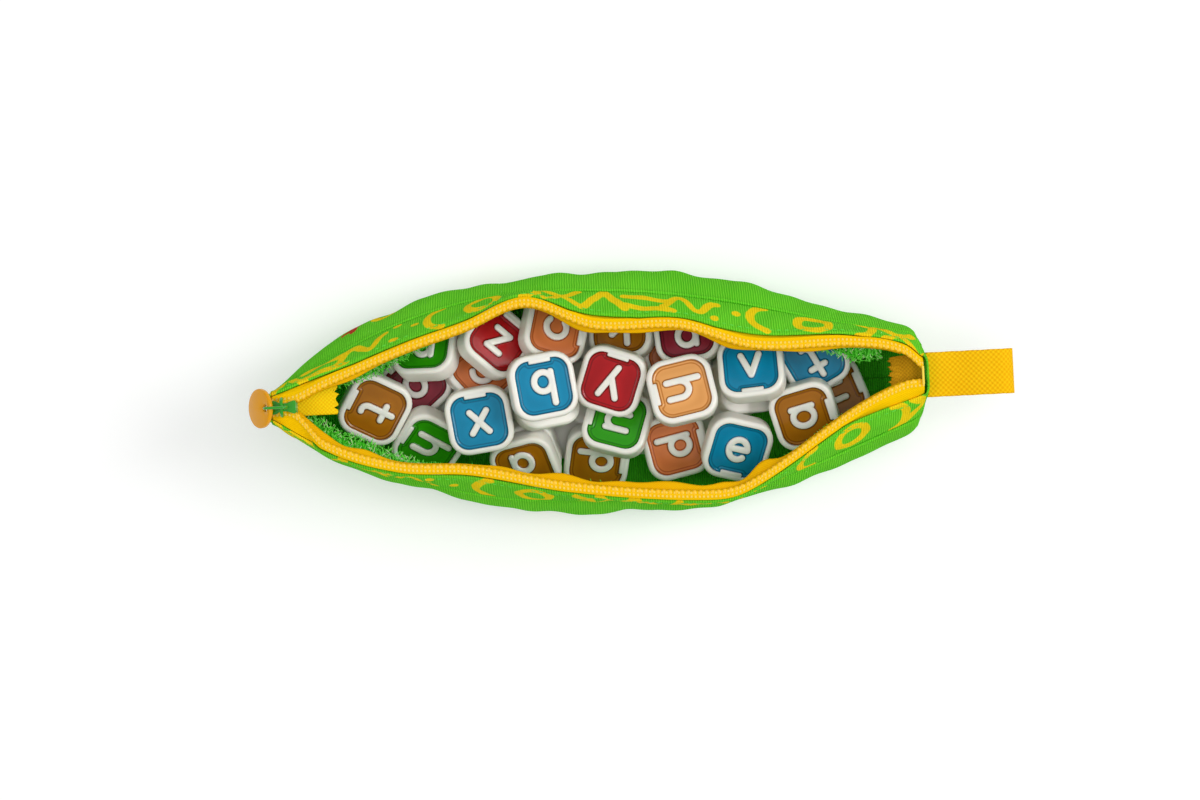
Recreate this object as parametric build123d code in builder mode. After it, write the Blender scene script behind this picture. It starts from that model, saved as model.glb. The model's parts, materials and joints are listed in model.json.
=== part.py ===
"""A zipped cloth pouch for a word tile game, standing open with its tiles heaped inside.

The pouch stands on its flattened base. +X runs along the zip towards the hanging loop, +Y towards
the back wall, and +Z up. The origin is the middle of the base. All sizes are in millimetres.
"""

from build123d import *
import math
import os

os.makedirs("parts", exist_ok=True)

# ---------------------------------------------------------------- driving dimensions
# Pouch cloth. Half widths are measured from the zip's centre line to the outside of the cloth.
pouch_length = 215.0
base_half = 23.0
belly_half = 41.0
seam_half = 37.0
root_half = 34.0
mouth_half = 31.0
belly_height = 22.0
seam_height = 40.0
root_height = 54.4
cloth = 1.2
seam_gap = 0.15
base_cut = 0.4
hem_thick = 0.8
hem_gap = 0.5
hem_drop = 6.0
hem_end = 0.9

# Zip: the chain lies flat at one height, so that its slider runs straight.
chain_height = 57.0
chain_thick = 2.0
chain_width = 1.8
turn_pitch = 2.0
turn_length = 1.3
slope_step = 0.01
tape_thick = 0.8
tape_gap = 0.15
tape_least = 2.6
flat_end = 0.9
coil_gap = 0.3
tail_inset = 3.0
tail_length = 20.0
tail_width = 6.0
tail_sunk = 3.2
tack_wire = 0.8
tack_width = 6.0
tack_inset = 0.9

# Slider and pull
slider_length = 8.5
slider_inset = 0.25
plate_thick = 1.0
slider_clear = 0.25
flange = 0.7
tape_slot = 1.5
plate_corner = 1.2
wedge_half = 0.65
wedge_length = 2.4
arch_wire = 1.2
arch_half = 2.8
arch_shift = -0.5
link_wire = 0.9
link_bend = 1.85
link_reach = 3.7
disc_across = 13.0
disc_thick = 1.4
disc_hole = 2.3
disc_rim = 1.9
disc_droop = 51.0

# Hanging loop of webbing
webbing = 1.35
webbing_width = 15.0
webbing_gap = 0.15
loop_height = 50.6
loop_length = 27.6
loop_eye = 6.0
loop_start = 0.7
loop_axis = 1.7
loop_root = 6.0
loop_tail = 13.0
slot_clear = 0.3
slot_swing = 0.55

# Tiles
tile_side = 22.0
tile_thick = 7.4
tile_corner = 6.6
face_side = 17.2
face_corner = 5.0
face_thick = 0.9
face_sunk = 0.8
face_clear = 0.06
key_width = 7.4
key_depth = 1.2
tile_gap = 0.15
tile_room = 1.3
hidden_layers = 2
hidden_pitch = 22.6
lean_cost = 0.12
LEAN_TRIES = (-18, -9, 0, 9, 18)
RIM_WAYS = ((1, 0), (0, 1), (1, 1), (1, -1), (2, 1), (2, -1), (1, 2), (1, -2))

half_length = pouch_length / 2
slider_middle = slider_length / 2 - half_length + slider_inset
plate_top = chain_height + chain_thick / 2 + slider_clear + plate_thick

# ---------------------------------------------------------------- the cloth's lines
# Each line is a list of (station, share): the station runs from -1 at the tip to 1 at the loop end,
# and the share is of the half width or height that the line is named for.
BASE = (
    (-1, 0.10), (-0.80, 0.30), (-0.55, 0.68), (-0.2, 0.97), (0.1, 1.0), (0.45, 0.86), (0.75, 0.55),
    (1, 0.26),
)
BELLY = {
    "back": (
        (-1, 0.15), (-0.84, 0.50), (-0.55, 0.84), (-0.20, 0.97), (0.05, 1.0), (0.40, 0.90),
        (0.75, 0.60), (1, 0.39),
    ),
    "front": (
        (-1, 0.15), (-0.84, 0.45), (-0.55, 0.74), (-0.20, 0.97), (0.05, 1.0), (0.40, 0.95),
        (0.75, 0.72), (1, 0.43),
    ),
}
SEAM = {
    "back": (
        (-1, 0.15), (-0.84, 0.41), (-0.58, 0.74), (-0.30, 0.92), (0.05, 0.92), (0.40, 0.78),
        (0.75, 0.53), (1, 0.38),
    ),
    "front": (
        (-1, 0.15), (-0.84, 0.46), (-0.58, 0.73), (-0.30, 0.93), (0.05, 1.0), (0.35, 1.05),
        (0.60, 0.83), (1, 0.385),
    ),
}
ROOT = {
    "back": (
        (-1, 0.14), (-0.84, 0.31), (-0.58, 0.57), (-0.21, 0.92), (0, 0.76), (0.26, 0.67),
        (0.50, 0.49), (0.80, 0.44), (1, 0.20),
    ),
    "front": (
        (-1, 0.14), (-0.84, 0.44), (-0.60, 0.66), (-0.40, 0.73), (-0.1, 0.94), (0.28, 1.07),
        (0.45, 1.0), (0.75, 0.47), (1, 0.20),
    ),
}
MOUTH = {
    "back": (
        (-1, 0.01), (-0.93, 0.03), (-0.84, 0.17), (-0.58, 0.51), (-0.40, 0.70), (-0.21, 0.93),
        (0, 0.66), (0.26, 0.62), (0.48, 0.37), (0.78, 0.34), (0.93, 0.24), (1, 0.03),
    ),
    "front": (
        (-1, 0.01), (-0.93, 0.03), (-0.84, 0.37), (-0.62, 0.64), (-0.40, 0.71), (-0.1, 0.94),
        (0.28, 1.09), (0.44, 1.03), (0.78, 0.30), (0.93, 0.06), (1, 0.03),
    ),
}
# Heights are shares of the height that each line is named for, and the underside's are of the belly's.
UNDERSIDE = (
    (-1, 1.05), (-0.84, 0.36), (-0.68, 0.04), (-0.55, 0.0), (0.70, 0.0), (0.84, 0.20), (1, 0.70),
)
BELLY_RISE = ((-1, 1.65), (-0.7, 1.12), (-0.4, 1.0), (0.6, 1.0), (1, 1.40))
SEAM_RISE = ((-1, 1.12), (-0.6, 1.0), (0.6, 1.0), (1, 1.12))
STATIONS = (-1, -0.93, -0.84, -0.72, -0.58, -0.40, -0.21, 0, 0.15, 0.30, 0.45, 0.60, 0.78, 0.91, 1)
FINE = [step / 20 for step in range(-20, 21)]
SIDES = {"front": -1, "back": 1}

# The tiles that show, from the lowest up: colour, place in plan, the way that the foot of the
# letter points, the way that the tile leans and how far, in degrees.
SHOWN = (
    ("maroon", -62.0, 5.5, 130, 222, 26),
    ("orange", -38.8, 8.5, 40, 200, 6),
    ("orange", 27.8, 7.5, 15, 80, 3),
    ("orange", 25.5, -19.5, 12, 84, 12),
    ("brown", 80.0, -4.5, 20, 100, 6),
    ("brown", -1.5, -24.0, -10, 215, 12),
    ("brown", -25.5, -18.5, -75, 262, 30),
    ("brown", -25.8, -25.5, -75, 262, 30),
    ("white", -18.2, -0.5, 98, 84, 16),
    ("white", 50.4, 1.0, -87, 90, 12),
    ("brown", 9.0, 21.5, 90, 250, 12),
    ("green", -56.8, 17.5, 85, 80, 8),
    ("green", -58.0, -14.0, 145, 232, 16),
    ("red", -33.6, 18.5, 50, 52, 12),
    ("orange", -13.8, 22.0, -16, 60, 8),
    ("green", 6.0, -10.8, 162, 100, 16),
    ("blue", 73.0, 7.5, 118, 200, 10),
    ("blue", 45.8, -21.0, -107, 205, 7),
    ("maroon", 31.0, 19.0, 95, 92, 6),
    ("red", 4.8, 3.6, 70, 255, 26),
    ("left_blue", -18.4, 2.8, 98, 84, 16),
    ("brown", 69.0, -11.0, 15, 150, 7),
    ("brown", -75.5, -1.6, 150, 240, 18),
    ("blue", -40.2, -7.4, 97, 282, 8),
    ("blue", 51.6, 5.0, -87, 90, 12),
    ("right_peach", 28.0, -1.0, 191, 150, 3),
)
COLOURS = ("blue", "green", "red", "maroon", "orange", "brown")
LIFTED = ("left_blue", "right_peach")


def along(line, s):
    """The line's value at a station, on a smooth curve through its points."""
    n = len(line)
    i = max(k for k in range(n - 1) if k == 0 or line[k][0] <= s)
    (s0, v0), (s1, v1) = line[i], line[i + 1]

    def slope(k):
        a, b = line[max(k - 1, 0)], line[min(k + 1, n - 1)]
        return (b[1] - a[1]) / (b[0] - a[0])

    step = s1 - s0
    t = (s - s0) / step
    rise = (2 * t**3 - 3 * t**2 + 1) * v0 + (3 * t**2 - 2 * t**3) * v1
    return rise + step * ((t**3 - 2 * t**2 + t) * slope(i) + (t**3 - t**2) * slope(i + 1))


def wall(side, s):
    """The outside of one wall at a station: its corners as (out from the middle, up)."""
    mouth = mouth_half * along(MOUTH[side], s)
    slope = mouth_half * (along(MOUTH[side], s + slope_step) - along(MOUTH[side], s - slope_step))
    turned_width = chain_width * math.hypot(1, slope / (2 * slope_step * half_length))
    root = max(root_half * along(ROOT[side], s), mouth + turned_width + tape_least)
    end_rise = chain_height - tape_thick / 2 - tape_gap - root_height
    return {
        "under": (seam_gap / 2, belly_height * along(UNDERSIDE, s) - base_cut),
        "base": (base_half * along(BASE, s), belly_height * along(UNDERSIDE, s) - base_cut),
        "belly": (belly_half * along(BELLY[side], s), belly_height * along(BELLY_RISE, s)),
        "seam": (max(seam_half * along(SEAM[side], s), root + seam_gap), seam_height * along(SEAM_RISE, s)),
        "root": (root, root_height + end_rise * min(abs(s) / flat_end, 1) ** 4),
        "mouth": (mouth, chain_height),
        "coil": (mouth + turned_width, chain_height),
    }


def lofted(side, stations, corners):
    """A strip of cloth through straight-sided sections, whose corners a function gives by station."""
    with BuildPart() as strip:
        for s in stations:
            with BuildSketch(Plane.YZ.offset(half_length * s)):
                with BuildLine():
                    Polyline(*[(SIDES[side] * y, z) for y, z in corners(wall(side, s))], close=True)
                make_face()
        loft()
    return strip


def side_panel(side):
    """A side panel, flat where the pouch stands, then round the belly and up to the top band's seam."""
    with BuildPart() as panel:
        for s in STATIONS:
            w = wall(side, s)
            seam_in = (w["seam"][0] - cloth, w["seam"][1] - cloth / 3)
            belly_in = (w["belly"][0] - cloth, w["belly"][1])
            base_in = (w["base"][0] * (1 - cloth / w["belly"][0]), w["base"][1] + cloth)
            under_in = (w["under"][0], w["under"][1] + cloth)
            rounds = [w["base"], w["belly"], w["seam"], seam_in, belly_in, base_in]
            under, base, belly, seam, seam_in, belly_in, base_in, under_in = [
                (SIDES[side] * y, z) for y, z in (w["under"], *rounds, under_in)
            ]
            with BuildSketch(Plane.YZ.offset(half_length * s)):
                with BuildLine():
                    Line(under, base)
                    ThreePointArc(base, belly, seam)
                    Line(seam, seam_in)
                    ThreePointArc(seam_in, belly_in, base_in)
                    Line(base_in, under_in)
                    Line(under_in, under)
                make_face()
        loft()
        split(bisect_by=Plane.XY, keep=Keep.TOP)
    return panel


def top_band(w):
    """The printed band between the panel's seam and the zip tape."""
    (seam, low), (root, high) = w["seam"], w["root"]
    low += seam_gap
    return ((seam, low), (root, high), (root - cloth, high), (seam - cloth, low))


def zip_tape(w):
    """The zip tape from the top band to the coil, nearly flat."""
    (root, low), (inner, high) = w["root"], w["coil"]
    inner += coil_gap
    low += tape_gap
    high -= tape_thick / 2
    return ((root, low), (root, low + tape_thick), (inner, high + tape_thick), (inner, high))


def seam_hem(w):
    """The frayed allowance of the zip seam, hanging inside the band."""
    root, high = w["root"]
    out = root - cloth - hem_gap
    top = high - cloth
    low = top - hem_drop
    return ((out, top), (out - hem_thick, top), (out - 2 * hem_thick, low), (out - hem_thick, low))


def print_part(name, builder):
    """Name a finished part and write it out."""
    builder.part.label = name
    export_step(builder.part, f"parts/{name}.step")


# ---------------------------------------------------------------- cloth
for side in SIDES:
    print_part(f"{side}_panel", side_panel(side))
    print_part(f"{side}_band", lofted(side, FINE, top_band))
    print_part(f"{side}_zip_tape", lofted(side, FINE, zip_tape))
    print_part(f"{side}_seam_hem", lofted(side, [s for s in FINE if abs(s) < hem_end], seam_hem))


def end_sheet(s, out):
    """The cloth that closes one end of the pouch, as a plate outside the panels' ends."""
    corners = []
    for side, sign in SIDES.items():
        w = wall(side, s)
        corners.append([(sign * w[key][0], w[key][1]) for key in ("base", "belly", "seam", "root")])
    front, back = corners
    with BuildPart() as sheet:
        with BuildSketch(Plane.YZ.offset(half_length * s + out * seam_gap)):
            with BuildLine():
                Line(back[0], front[0])
                ThreePointArc(*front[:3])
                Line(front[2], front[3])
                Line(front[3], back[3])
                Line(back[3], back[2])
                ThreePointArc(*back[2::-1])
            make_face()
        extrude(amount=out * cloth)
    return sheet


def coil(side):
    """One half of the zip's coil: its turns stand in a row along the mouth's edge."""
    sign = SIDES[side]

    def middle_line(x):
        w = wall(side, x / half_length)
        return (w["mouth"][0] + w["coil"][0]) / 2

    places = []
    x = turn_pitch / 2 - half_length
    while x < half_length - turn_pitch / 2:
        middle = middle_line(x)
        slope = (middle_line(x + turn_pitch / 4) - middle_line(x - turn_pitch / 4)) / (turn_pitch / 2)
        yaw = math.degrees(math.atan(sign * slope))
        places.append(Location((x, sign * middle, chain_height), (0, 0, yaw)))
        x += turn_pitch / math.hypot(1, slope)
    with BuildPart() as turns:
        with Locations(*places):
            Box(turn_length, chain_width, chain_thick)
    return turns


print_part("tip_panel", end_sheet(-1, -1))
with end_sheet(1, 1) as end_panel:
    slot_high = 2 * webbing + webbing_gap + 2 * slot_swing
    with Locations((half_length + seam_gap + cloth / 2, 0, loop_height)):
        Box(2 * cloth, webbing_width + 2 * slot_clear, slot_high, mode=Mode.SUBTRACT)
print_part("end_panel", end_panel)

# ---------------------------------------------------------------- zip
for side in SIDES:
    print_part(f"{side}_coil", coil(side))

with BuildPart() as end_tack:
    with Locations((half_length - tack_inset, 0, chain_height + chain_thick / 2 + tape_gap + tack_wire / 2)):
        Cylinder(tack_wire / 2, tack_width, rotation=(90, 0, 0))
print_part("end_tack", end_tack)

plate_low = chain_height - chain_thick / 2 - slider_clear - plate_thick
tail_top = plate_low - tail_sunk
tail_start = slider_inset + tail_inset - half_length
with BuildPart() as tape_tail:
    with BuildSketch(Plane.XY.offset(tail_top - tape_thick)):
        with BuildLine():
            Line((tail_start, 0.8), (tail_start + tail_length, 1.2))
            Line((tail_start + tail_length, 1.2), (tail_start + tail_length + 0.8, 5))
            corner = (tail_start + tail_length + 0.8, 5)
            Spline(corner, (tail_start + tail_length - 1.5, tail_width), (tail_start, 2.2))
            Line((tail_start, 2.2), (tail_start, 0.8))
        make_face()
    extrude(amount=tape_thick)
print_part("tape_tail", tape_tail)


def coil_reach(x):
    """How far the wider half of the coil reaches from the middle at one place."""
    return max(wall(side, x / half_length)["coil"][0] for side in SIDES)


slider_back = slider_middle - slider_length / 2
slider_nose = slider_middle + slider_length / 2
rear_half = coil_reach(slider_back) + 2 * slider_clear + flange
front_half = coil_reach(slider_nose) + 2 * slider_clear + flange
plate_outline = [
    (slider_back, -rear_half),
    (slider_nose, -front_half),
    (slider_nose, front_half),
    (slider_back, rear_half),
]
with BuildPart() as slider:
    for bottom in (plate_low, plate_top - plate_thick):
        with BuildSketch(Plane.XY.offset(bottom)):
            Polygon(*plate_outline, align=None)
        extrude(amount=plate_thick)
    fillet(slider.edges().filter_by(Axis.Z), plate_corner)
    rail = chain_thick / 2 + slider_clear - tape_slot / 2
    for start, rise in ((plate_low + plate_thick, rail), (plate_top - plate_thick, -rail)):
        with BuildSketch(Plane.XY.offset(start)):
            for sign in SIDES.values():
                rear, front = slider_back + plate_corner, slider_nose - plate_corner
                outer = [(rear, sign * rear_half), (front, sign * front_half)]
                inner = [(x, y - sign * flange) for x, y in outer]
                Polygon(outer[0], outer[1], inner[1], inner[0], align=None)
        extrude(amount=rise)
    with BuildSketch(Plane.XY.offset(plate_low)):
        inner = slider_nose - wedge_length
        nose = [(slider_nose, -wedge_half), (slider_nose, wedge_half)]
        Polygon(*nose, (inner, wedge_half / 2), (inner, -wedge_half / 2), align=None)
    extrude(amount=plate_top - plate_low)
    arch_x = slider_middle + arch_shift
    with BuildSketch(Plane.XY.offset(plate_top - arch_wire / 4)):
        with Locations((arch_x, arch_half)):
            Circle(arch_wire / 2)
    revolve(axis=Axis((arch_x, 0, plate_top - arch_wire / 4), (1, 0, 0)), revolution_arc=180)
print_part("slider", slider)

# The pull: a wire link round the slider's arch, and a disc whose hole the link's far end goes through.
pull_height = plate_top - arch_wire / 4 + arch_half
link_far = arch_x - link_reach
with BuildPart() as pull_link:
    with BuildLine() as link_path:
        top, low = pull_height + link_bend, pull_height - link_bend
        Line((arch_x, 0, top), (link_far, 0, top))
        ThreePointArc((link_far, 0, top), (link_far - link_bend, 0, pull_height), (link_far, 0, low))
        Line((link_far, 0, low), (arch_x, 0, low))
        ThreePointArc((arch_x, 0, low), (arch_x + link_bend, 0, pull_height), (arch_x, 0, top))
    with BuildSketch(Plane(origin=(arch_x, 0, top), z_dir=(-1, 0, 0))):
        Circle(link_wire / 2)
    sweep(path=link_path.line)
print_part("pull_link", pull_link)

droop = math.radians(disc_droop)
down = (-math.cos(droop), 0, -math.sin(droop))
disc_reach = (disc_across - disc_rim) / 2
disc_middle = (link_far + disc_reach * down[0], 0, pull_height + disc_reach * down[2])
with BuildPart() as pull_disc:
    with BuildSketch(Plane(origin=disc_middle, x_dir=down, z_dir=(-math.sin(droop), 0, math.cos(droop)))):
        Circle(disc_across / 2)
        with Locations((disc_rim + disc_hole / 2 - disc_across / 2, 0)):
            Circle(disc_hole / 2, mode=Mode.SUBTRACT)
    extrude(amount=disc_thick / 2, both=True)
print_part("pull_disc", pull_disc)

# ---------------------------------------------------------------- hanging loop
loop_near = half_length + loop_start
loop_far = half_length + loop_length
root_thick = webbing + webbing_gap / 2
fold = loop_eye / 2 + webbing


def eye_outline(start, neck, bend, far):
    """One side-on outline of the loop: straight at its neck, then opening to a round fold."""
    turn = far - bend
    Line((start, -neck), (loop_near + loop_root, -neck))
    Spline((loop_near + loop_root, -neck), (turn, -bend), tangents=[(1, 0), (1, 0)])
    ThreePointArc((turn, -bend), (far, 0), (turn, bend))
    Spline((turn, bend), (loop_near + loop_root, neck), tangents=[(-1, 0), (-1, 0)])
    Line((loop_near + loop_root, neck), (start, neck))
    Line((start, neck), (start, -neck))


with BuildPart() as webbing_loop:
    with BuildSketch(Plane(origin=(0, 0, loop_height), x_dir=(1, 0, 0), z_dir=(0, -1, 0))):
        with BuildLine():
            eye_outline(loop_near, root_thick, fold, loop_far)
        make_face()
        with BuildLine():
            eye_outline(loop_near + loop_root / 2, webbing_gap / 2, fold - webbing, loop_far - webbing)
        make_face(mode=Mode.SUBTRACT)
    extrude(amount=webbing_width / 2, both=True)
print_part("webbing_loop", webbing_loop)

# The tail ends where the loop's root, which turns about its axis, can't reach it.
root_sweep = math.hypot(loop_axis - loop_start, root_thick)
tail_end = half_length + loop_axis - root_sweep - webbing_gap
with BuildPart() as webbing_tail:
    with Locations((tail_end, 0, loop_height - root_thick)):
        Box(loop_tail, webbing_width, webbing, align=(Align.MAX, Align.CENTER, Align.MIN))
print_part("webbing_tail", webbing_tail)


# ---------------------------------------------------------------- where the tiles come to lie
def turned(foot, lean, tilt):
    """A tile's own directions: to the letter's foot, to its side, and out of its face."""
    foot, lean, tilt = (math.radians(angle) for angle in (foot, lean, tilt))
    across = foot - lean
    to_lean = Vector(math.cos(lean), math.sin(lean), 0)
    hinge = Vector(-math.sin(lean), math.cos(lean), 0)
    out = to_lean * math.sin(tilt) + Vector(0, 0, math.cos(tilt))
    dip = to_lean * math.cos(tilt) - Vector(0, 0, math.sin(tilt))
    to_foot = dip * math.cos(across) + hinge * math.sin(across)
    return to_foot, out.cross(to_foot), out


def reach(axes, way):
    """How far a tile with rounded corners reaches from its middle, one way."""
    foot, side, out = (abs(way.dot(axis)) for axis in axes)
    flat = tile_side / 2 - tile_corner
    return flat * (foot + side) + tile_corner * math.hypot(foot, side) + tile_thick / 2 * out


def rest_on(axes, x, y, other):
    """The height of a tile's middle when it comes down on another tile, or None where it passes it."""
    axes_b, middle_b = other
    ways = [axes[2], axes_b[2]]
    for foot, side, _ in (axes, axes_b):
        ways += [foot * a + side * b for a, b in RIM_WAYS]
    ways += [a.cross(b) for a in axes for b in axes_b]
    apart = Vector(x, y, 0) - middle_b
    low, high = -math.inf, math.inf
    for way in ways:
        if way.length < 1e-6:
            continue
        way = way.normalized()
        near = reach(axes, way) + reach(axes_b, way) + tile_gap
        along_way = apart.dot(way)
        if abs(way.Z) < 1e-6:
            if abs(along_way) >= near:
                return None
            continue
        ends = sorted(((-near - along_way) / way.Z, (near - along_way) / way.Z))
        low, high = max(low, ends[0]), min(high, ends[1])
    return high if low < high else None


def inner_half(side, x, z):
    """The half width inside one wall, at a place and height."""
    w = wall(side, max(min(x / half_length, 1), -1))
    (y0, z0), (y1, z1), (y2, z2) = w["base"], w["belly"], w["seam"]
    if z >= z2:
        share = min((z - z2) / (w["root"][1] - z2), 1)
        hem = hem_gap + 2 * hem_thick if z > w["root"][1] - cloth - hem_drop else 0
        return y2 + share * (w["root"][0] - y2) - cloth - hem
    if z <= z0 + cloth:
        return 0
    square = [y * y + up * up for y, up in ((y0, z0), (y1, z1), (y2, z2))]
    twice = 2 * (y0 * (z1 - z2) + y1 * (z2 - z0) + y2 * (z0 - z1))
    middle_y = (square[0] * (z1 - z2) + square[1] * (z2 - z0) + square[2] * (z0 - z1)) / twice
    middle_z = (square[0] * (y2 - y1) + square[1] * (y0 - y2) + square[2] * (y1 - y0)) / twice
    radius = math.hypot(y0 - middle_y, z0 - middle_z)
    return middle_y + math.sqrt(max(radius**2 - (z - middle_z) ** 2, 0)) - cloth


def outside(axes, middle):
    """How far a tile reaches into each wall, as (front, back), with the room that it must keep."""
    foot, side, out = axes
    deep = {"front": -math.inf, "back": -math.inf}
    flat, half = tile_side / 2, tile_thick / 2
    edge = tile_side / 2 - tile_corner * (1 - math.sqrt(0.5))
    rim = [(flat, 0), (0, flat), (-flat, 0), (0, -flat)]
    rim += [(edge, edge), (-edge, edge), (edge, -edge), (-edge, -edge)]
    for a, b in rim:
        for c in (-half, half):
            p = middle + foot * a + side * b + out * c
            for wall_side, sign in SIDES.items():
                room = inner_half(wall_side, p.X, p.Z) - tile_room
                deep[wall_side] = max(deep[wall_side], sign * p.Y - room)
    return deep["front"], deep["back"]


floor = cloth - base_cut + tile_gap
heap = []
flat_axes = turned(0, 0, 0)
for layer in range(hidden_layers):
    height = floor + tile_thick / 2 + layer * (tile_thick + tile_gap)
    shift = hidden_pitch / 2 * (1 - layer % 2)
    for column in range(-5, 6):
        for row in range(-2, 3):
            place = Vector(column * hidden_pitch + shift, row * hidden_pitch + shift, height)
            if max(outside(flat_axes, place)) < 0:
                heap.append((flat_axes, place))
hidden = [Plane(origin=middle, x_dir=axes[0], z_dir=axes[2]) for axes, middle in heap]


def settled(x, y, foot, lean, tilt):
    """A tile let down on the heap: of the leans near its own, the one in which it comes to lie lowest."""
    near = [other for other in heap if math.hypot(other[1].X - x, other[1].Y - y) < 1.5 * tile_side]
    lean_x, lean_y = tilt * math.cos(math.radians(lean)), tilt * math.sin(math.radians(lean))
    best = None
    for turn_x in LEAN_TRIES:
        for turn_y in LEAN_TRIES:
            way = math.degrees(math.atan2(lean_y + turn_y, lean_x + turn_x))
            axes = turned(foot, way, math.hypot(lean_x + turn_x, lean_y + turn_y))
            rests = [rest_on(axes, x, y, other) for other in near]
            z = max([floor + reach(axes, Vector(0, 0, 1))] + [rest for rest in rests if rest is not None])
            score = z + lean_cost * math.hypot(turn_x, turn_y)
            if best is None or score < best[0]:
                best = (score, axes, Vector(x, y, z))
    return best[1:]


shown = []
highest = 0
for colour, x, y, foot, lean, tilt in SHOWN:
    for attempt in range(3):
        axes, middle = settled(x, y, foot, lean, tilt)
        front, back = outside(axes, middle)
        if max(front, back) <= 0:
            break
        y += front if front > back else -back
    heap.append((axes, middle))
    shown.append((colour, Plane(origin=middle, x_dir=axes[0], z_dir=axes[2])))
    highest = max(highest, middle.Z + reach(axes, Vector(0, 0, 1)))
print(f"heap of {len(heap)} tiles, {highest:.1f} high, under a slider at {plate_low:.1f}")


# ---------------------------------------------------------------- tiles
def face_outline(clear):
    """The coloured face seen from above, with the notch for the key at the letter's foot."""
    RectangleRounded(face_side - 2 * clear, face_side - 2 * clear, face_corner - clear)
    with Locations((face_side / 2, 0)):
        RectangleRounded(2 * (key_depth + clear), key_width + 2 * clear, key_depth / 2, mode=Mode.SUBTRACT)


with BuildPart() as blank:
    with BuildSketch(Plane.XY.offset(-tile_thick / 2)):
        RectangleRounded(tile_side, tile_side, tile_corner)
    extrude(amount=tile_thick)

pocket_floor = tile_thick / 2 - face_sunk - face_thick
with BuildPart() as shell:
    add(blank.part)
    with BuildSketch(Plane.XY.offset(pocket_floor)):
        face_outline(0)
    extrude(amount=face_sunk + face_thick, mode=Mode.SUBTRACT)

with BuildPart() as face:
    with BuildSketch(Plane.XY.offset(pocket_floor)):
        face_outline(face_clear)
    extrude(amount=face_thick)


def placed(piece, places):
    """Copies of a piece, one at each place."""
    with BuildPart() as copies:
        add([piece.part.moved(place.location) for place in places])
    return copies


print_part("buried_tiles", placed(blank, hidden))
print_part("turned_tiles", placed(blank, [place for colour, place in shown if colour == "white"]))
print_part("letter_tiles", placed(shell, [place for colour, place in shown if colour in COLOURS]))
for colour in COLOURS:
    print_part(f"{colour}_faces", placed(face, [place for shade, place in shown if shade == colour]))
for name in LIFTED:
    place = [place for shade, place in shown if shade == name]
    print_part(f"{name}_tile", placed(shell, place))
    print_part(f"{name}_face", placed(face, place))
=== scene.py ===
"""A zipped cloth pouch heaped with letter tiles, dressed over its CAD parts.

Lengths inside the classes are in millimetres on the row frame's axes: +X along the zip towards the
hanging loop, +Y towards the back wall and +Z up. A mesh is brought to metres when it is built.
"""

from __future__ import annotations

import json
import logging
import math
import random
from collections.abc import Callable, Iterable, Sequence
from dataclasses import dataclass, field
from enum import Enum
from functools import cache

import bmesh
import bpy
import numpy as np
from mathutils import Matrix, Vector

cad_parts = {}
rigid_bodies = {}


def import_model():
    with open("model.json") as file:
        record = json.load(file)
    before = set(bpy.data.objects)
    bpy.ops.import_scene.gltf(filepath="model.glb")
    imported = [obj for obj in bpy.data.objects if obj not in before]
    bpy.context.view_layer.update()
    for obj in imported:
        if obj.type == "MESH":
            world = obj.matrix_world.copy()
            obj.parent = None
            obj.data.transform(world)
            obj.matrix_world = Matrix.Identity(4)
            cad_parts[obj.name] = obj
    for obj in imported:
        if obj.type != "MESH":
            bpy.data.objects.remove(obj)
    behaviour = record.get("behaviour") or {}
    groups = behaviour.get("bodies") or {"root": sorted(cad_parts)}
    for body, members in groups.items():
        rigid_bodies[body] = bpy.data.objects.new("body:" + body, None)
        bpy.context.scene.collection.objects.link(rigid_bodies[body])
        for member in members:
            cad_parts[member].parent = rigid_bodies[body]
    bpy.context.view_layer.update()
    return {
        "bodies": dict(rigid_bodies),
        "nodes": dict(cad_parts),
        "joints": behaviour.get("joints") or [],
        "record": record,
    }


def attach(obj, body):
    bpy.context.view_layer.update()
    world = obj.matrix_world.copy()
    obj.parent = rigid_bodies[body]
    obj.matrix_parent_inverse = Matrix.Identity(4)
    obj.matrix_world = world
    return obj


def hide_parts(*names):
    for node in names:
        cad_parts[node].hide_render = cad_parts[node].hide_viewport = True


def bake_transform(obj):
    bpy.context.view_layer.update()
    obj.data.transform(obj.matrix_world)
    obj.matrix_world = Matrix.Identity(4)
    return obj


LOG = logging.getLogger("pouch")
MM = 0.001
LEAST_SHEET = 0.01
Colour = tuple[float, float, float]
Line = tuple[tuple[float, float], ...]
Path = Sequence[tuple[float, float]]


class Side(Enum):
    """A long side of the pouch, with the sign of its Y."""

    FRONT = -1
    BACK = 1

    @property
    def label(self) -> str:
        """The side's name in the CAD nodes."""
        return self.name.lower()

    @property
    def lip(self) -> str:
        """The body of this side's zip tape."""
        return f"{self.label}_lip"


# ------------------------------------------------------------------ shaders
@dataclass(frozen=True)
class Number:
    """A number in a shader, which adds its Math nodes as it is reckoned with."""

    shader: Shader
    socket: bpy.types.NodeSocket

    def __add__(self, other: Number | float) -> Number:
        """The sum."""
        return self.shader.math("ADD", self, other)

    def __radd__(self, other: float) -> Number:
        """The sum, from the right."""
        return self.shader.math("ADD", other, self)

    def __sub__(self, other: Number | float) -> Number:
        """The difference."""
        return self.shader.math("SUBTRACT", self, other)

    def __rsub__(self, other: float) -> Number:
        """The difference, from the right."""
        return self.shader.math("SUBTRACT", other, self)

    def __mul__(self, other: Number | float) -> Number:
        """The product."""
        return self.shader.math("MULTIPLY", self, other)

    def __rmul__(self, other: float) -> Number:
        """The product, from the right."""
        return self.shader.math("MULTIPLY", other, self)


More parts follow.
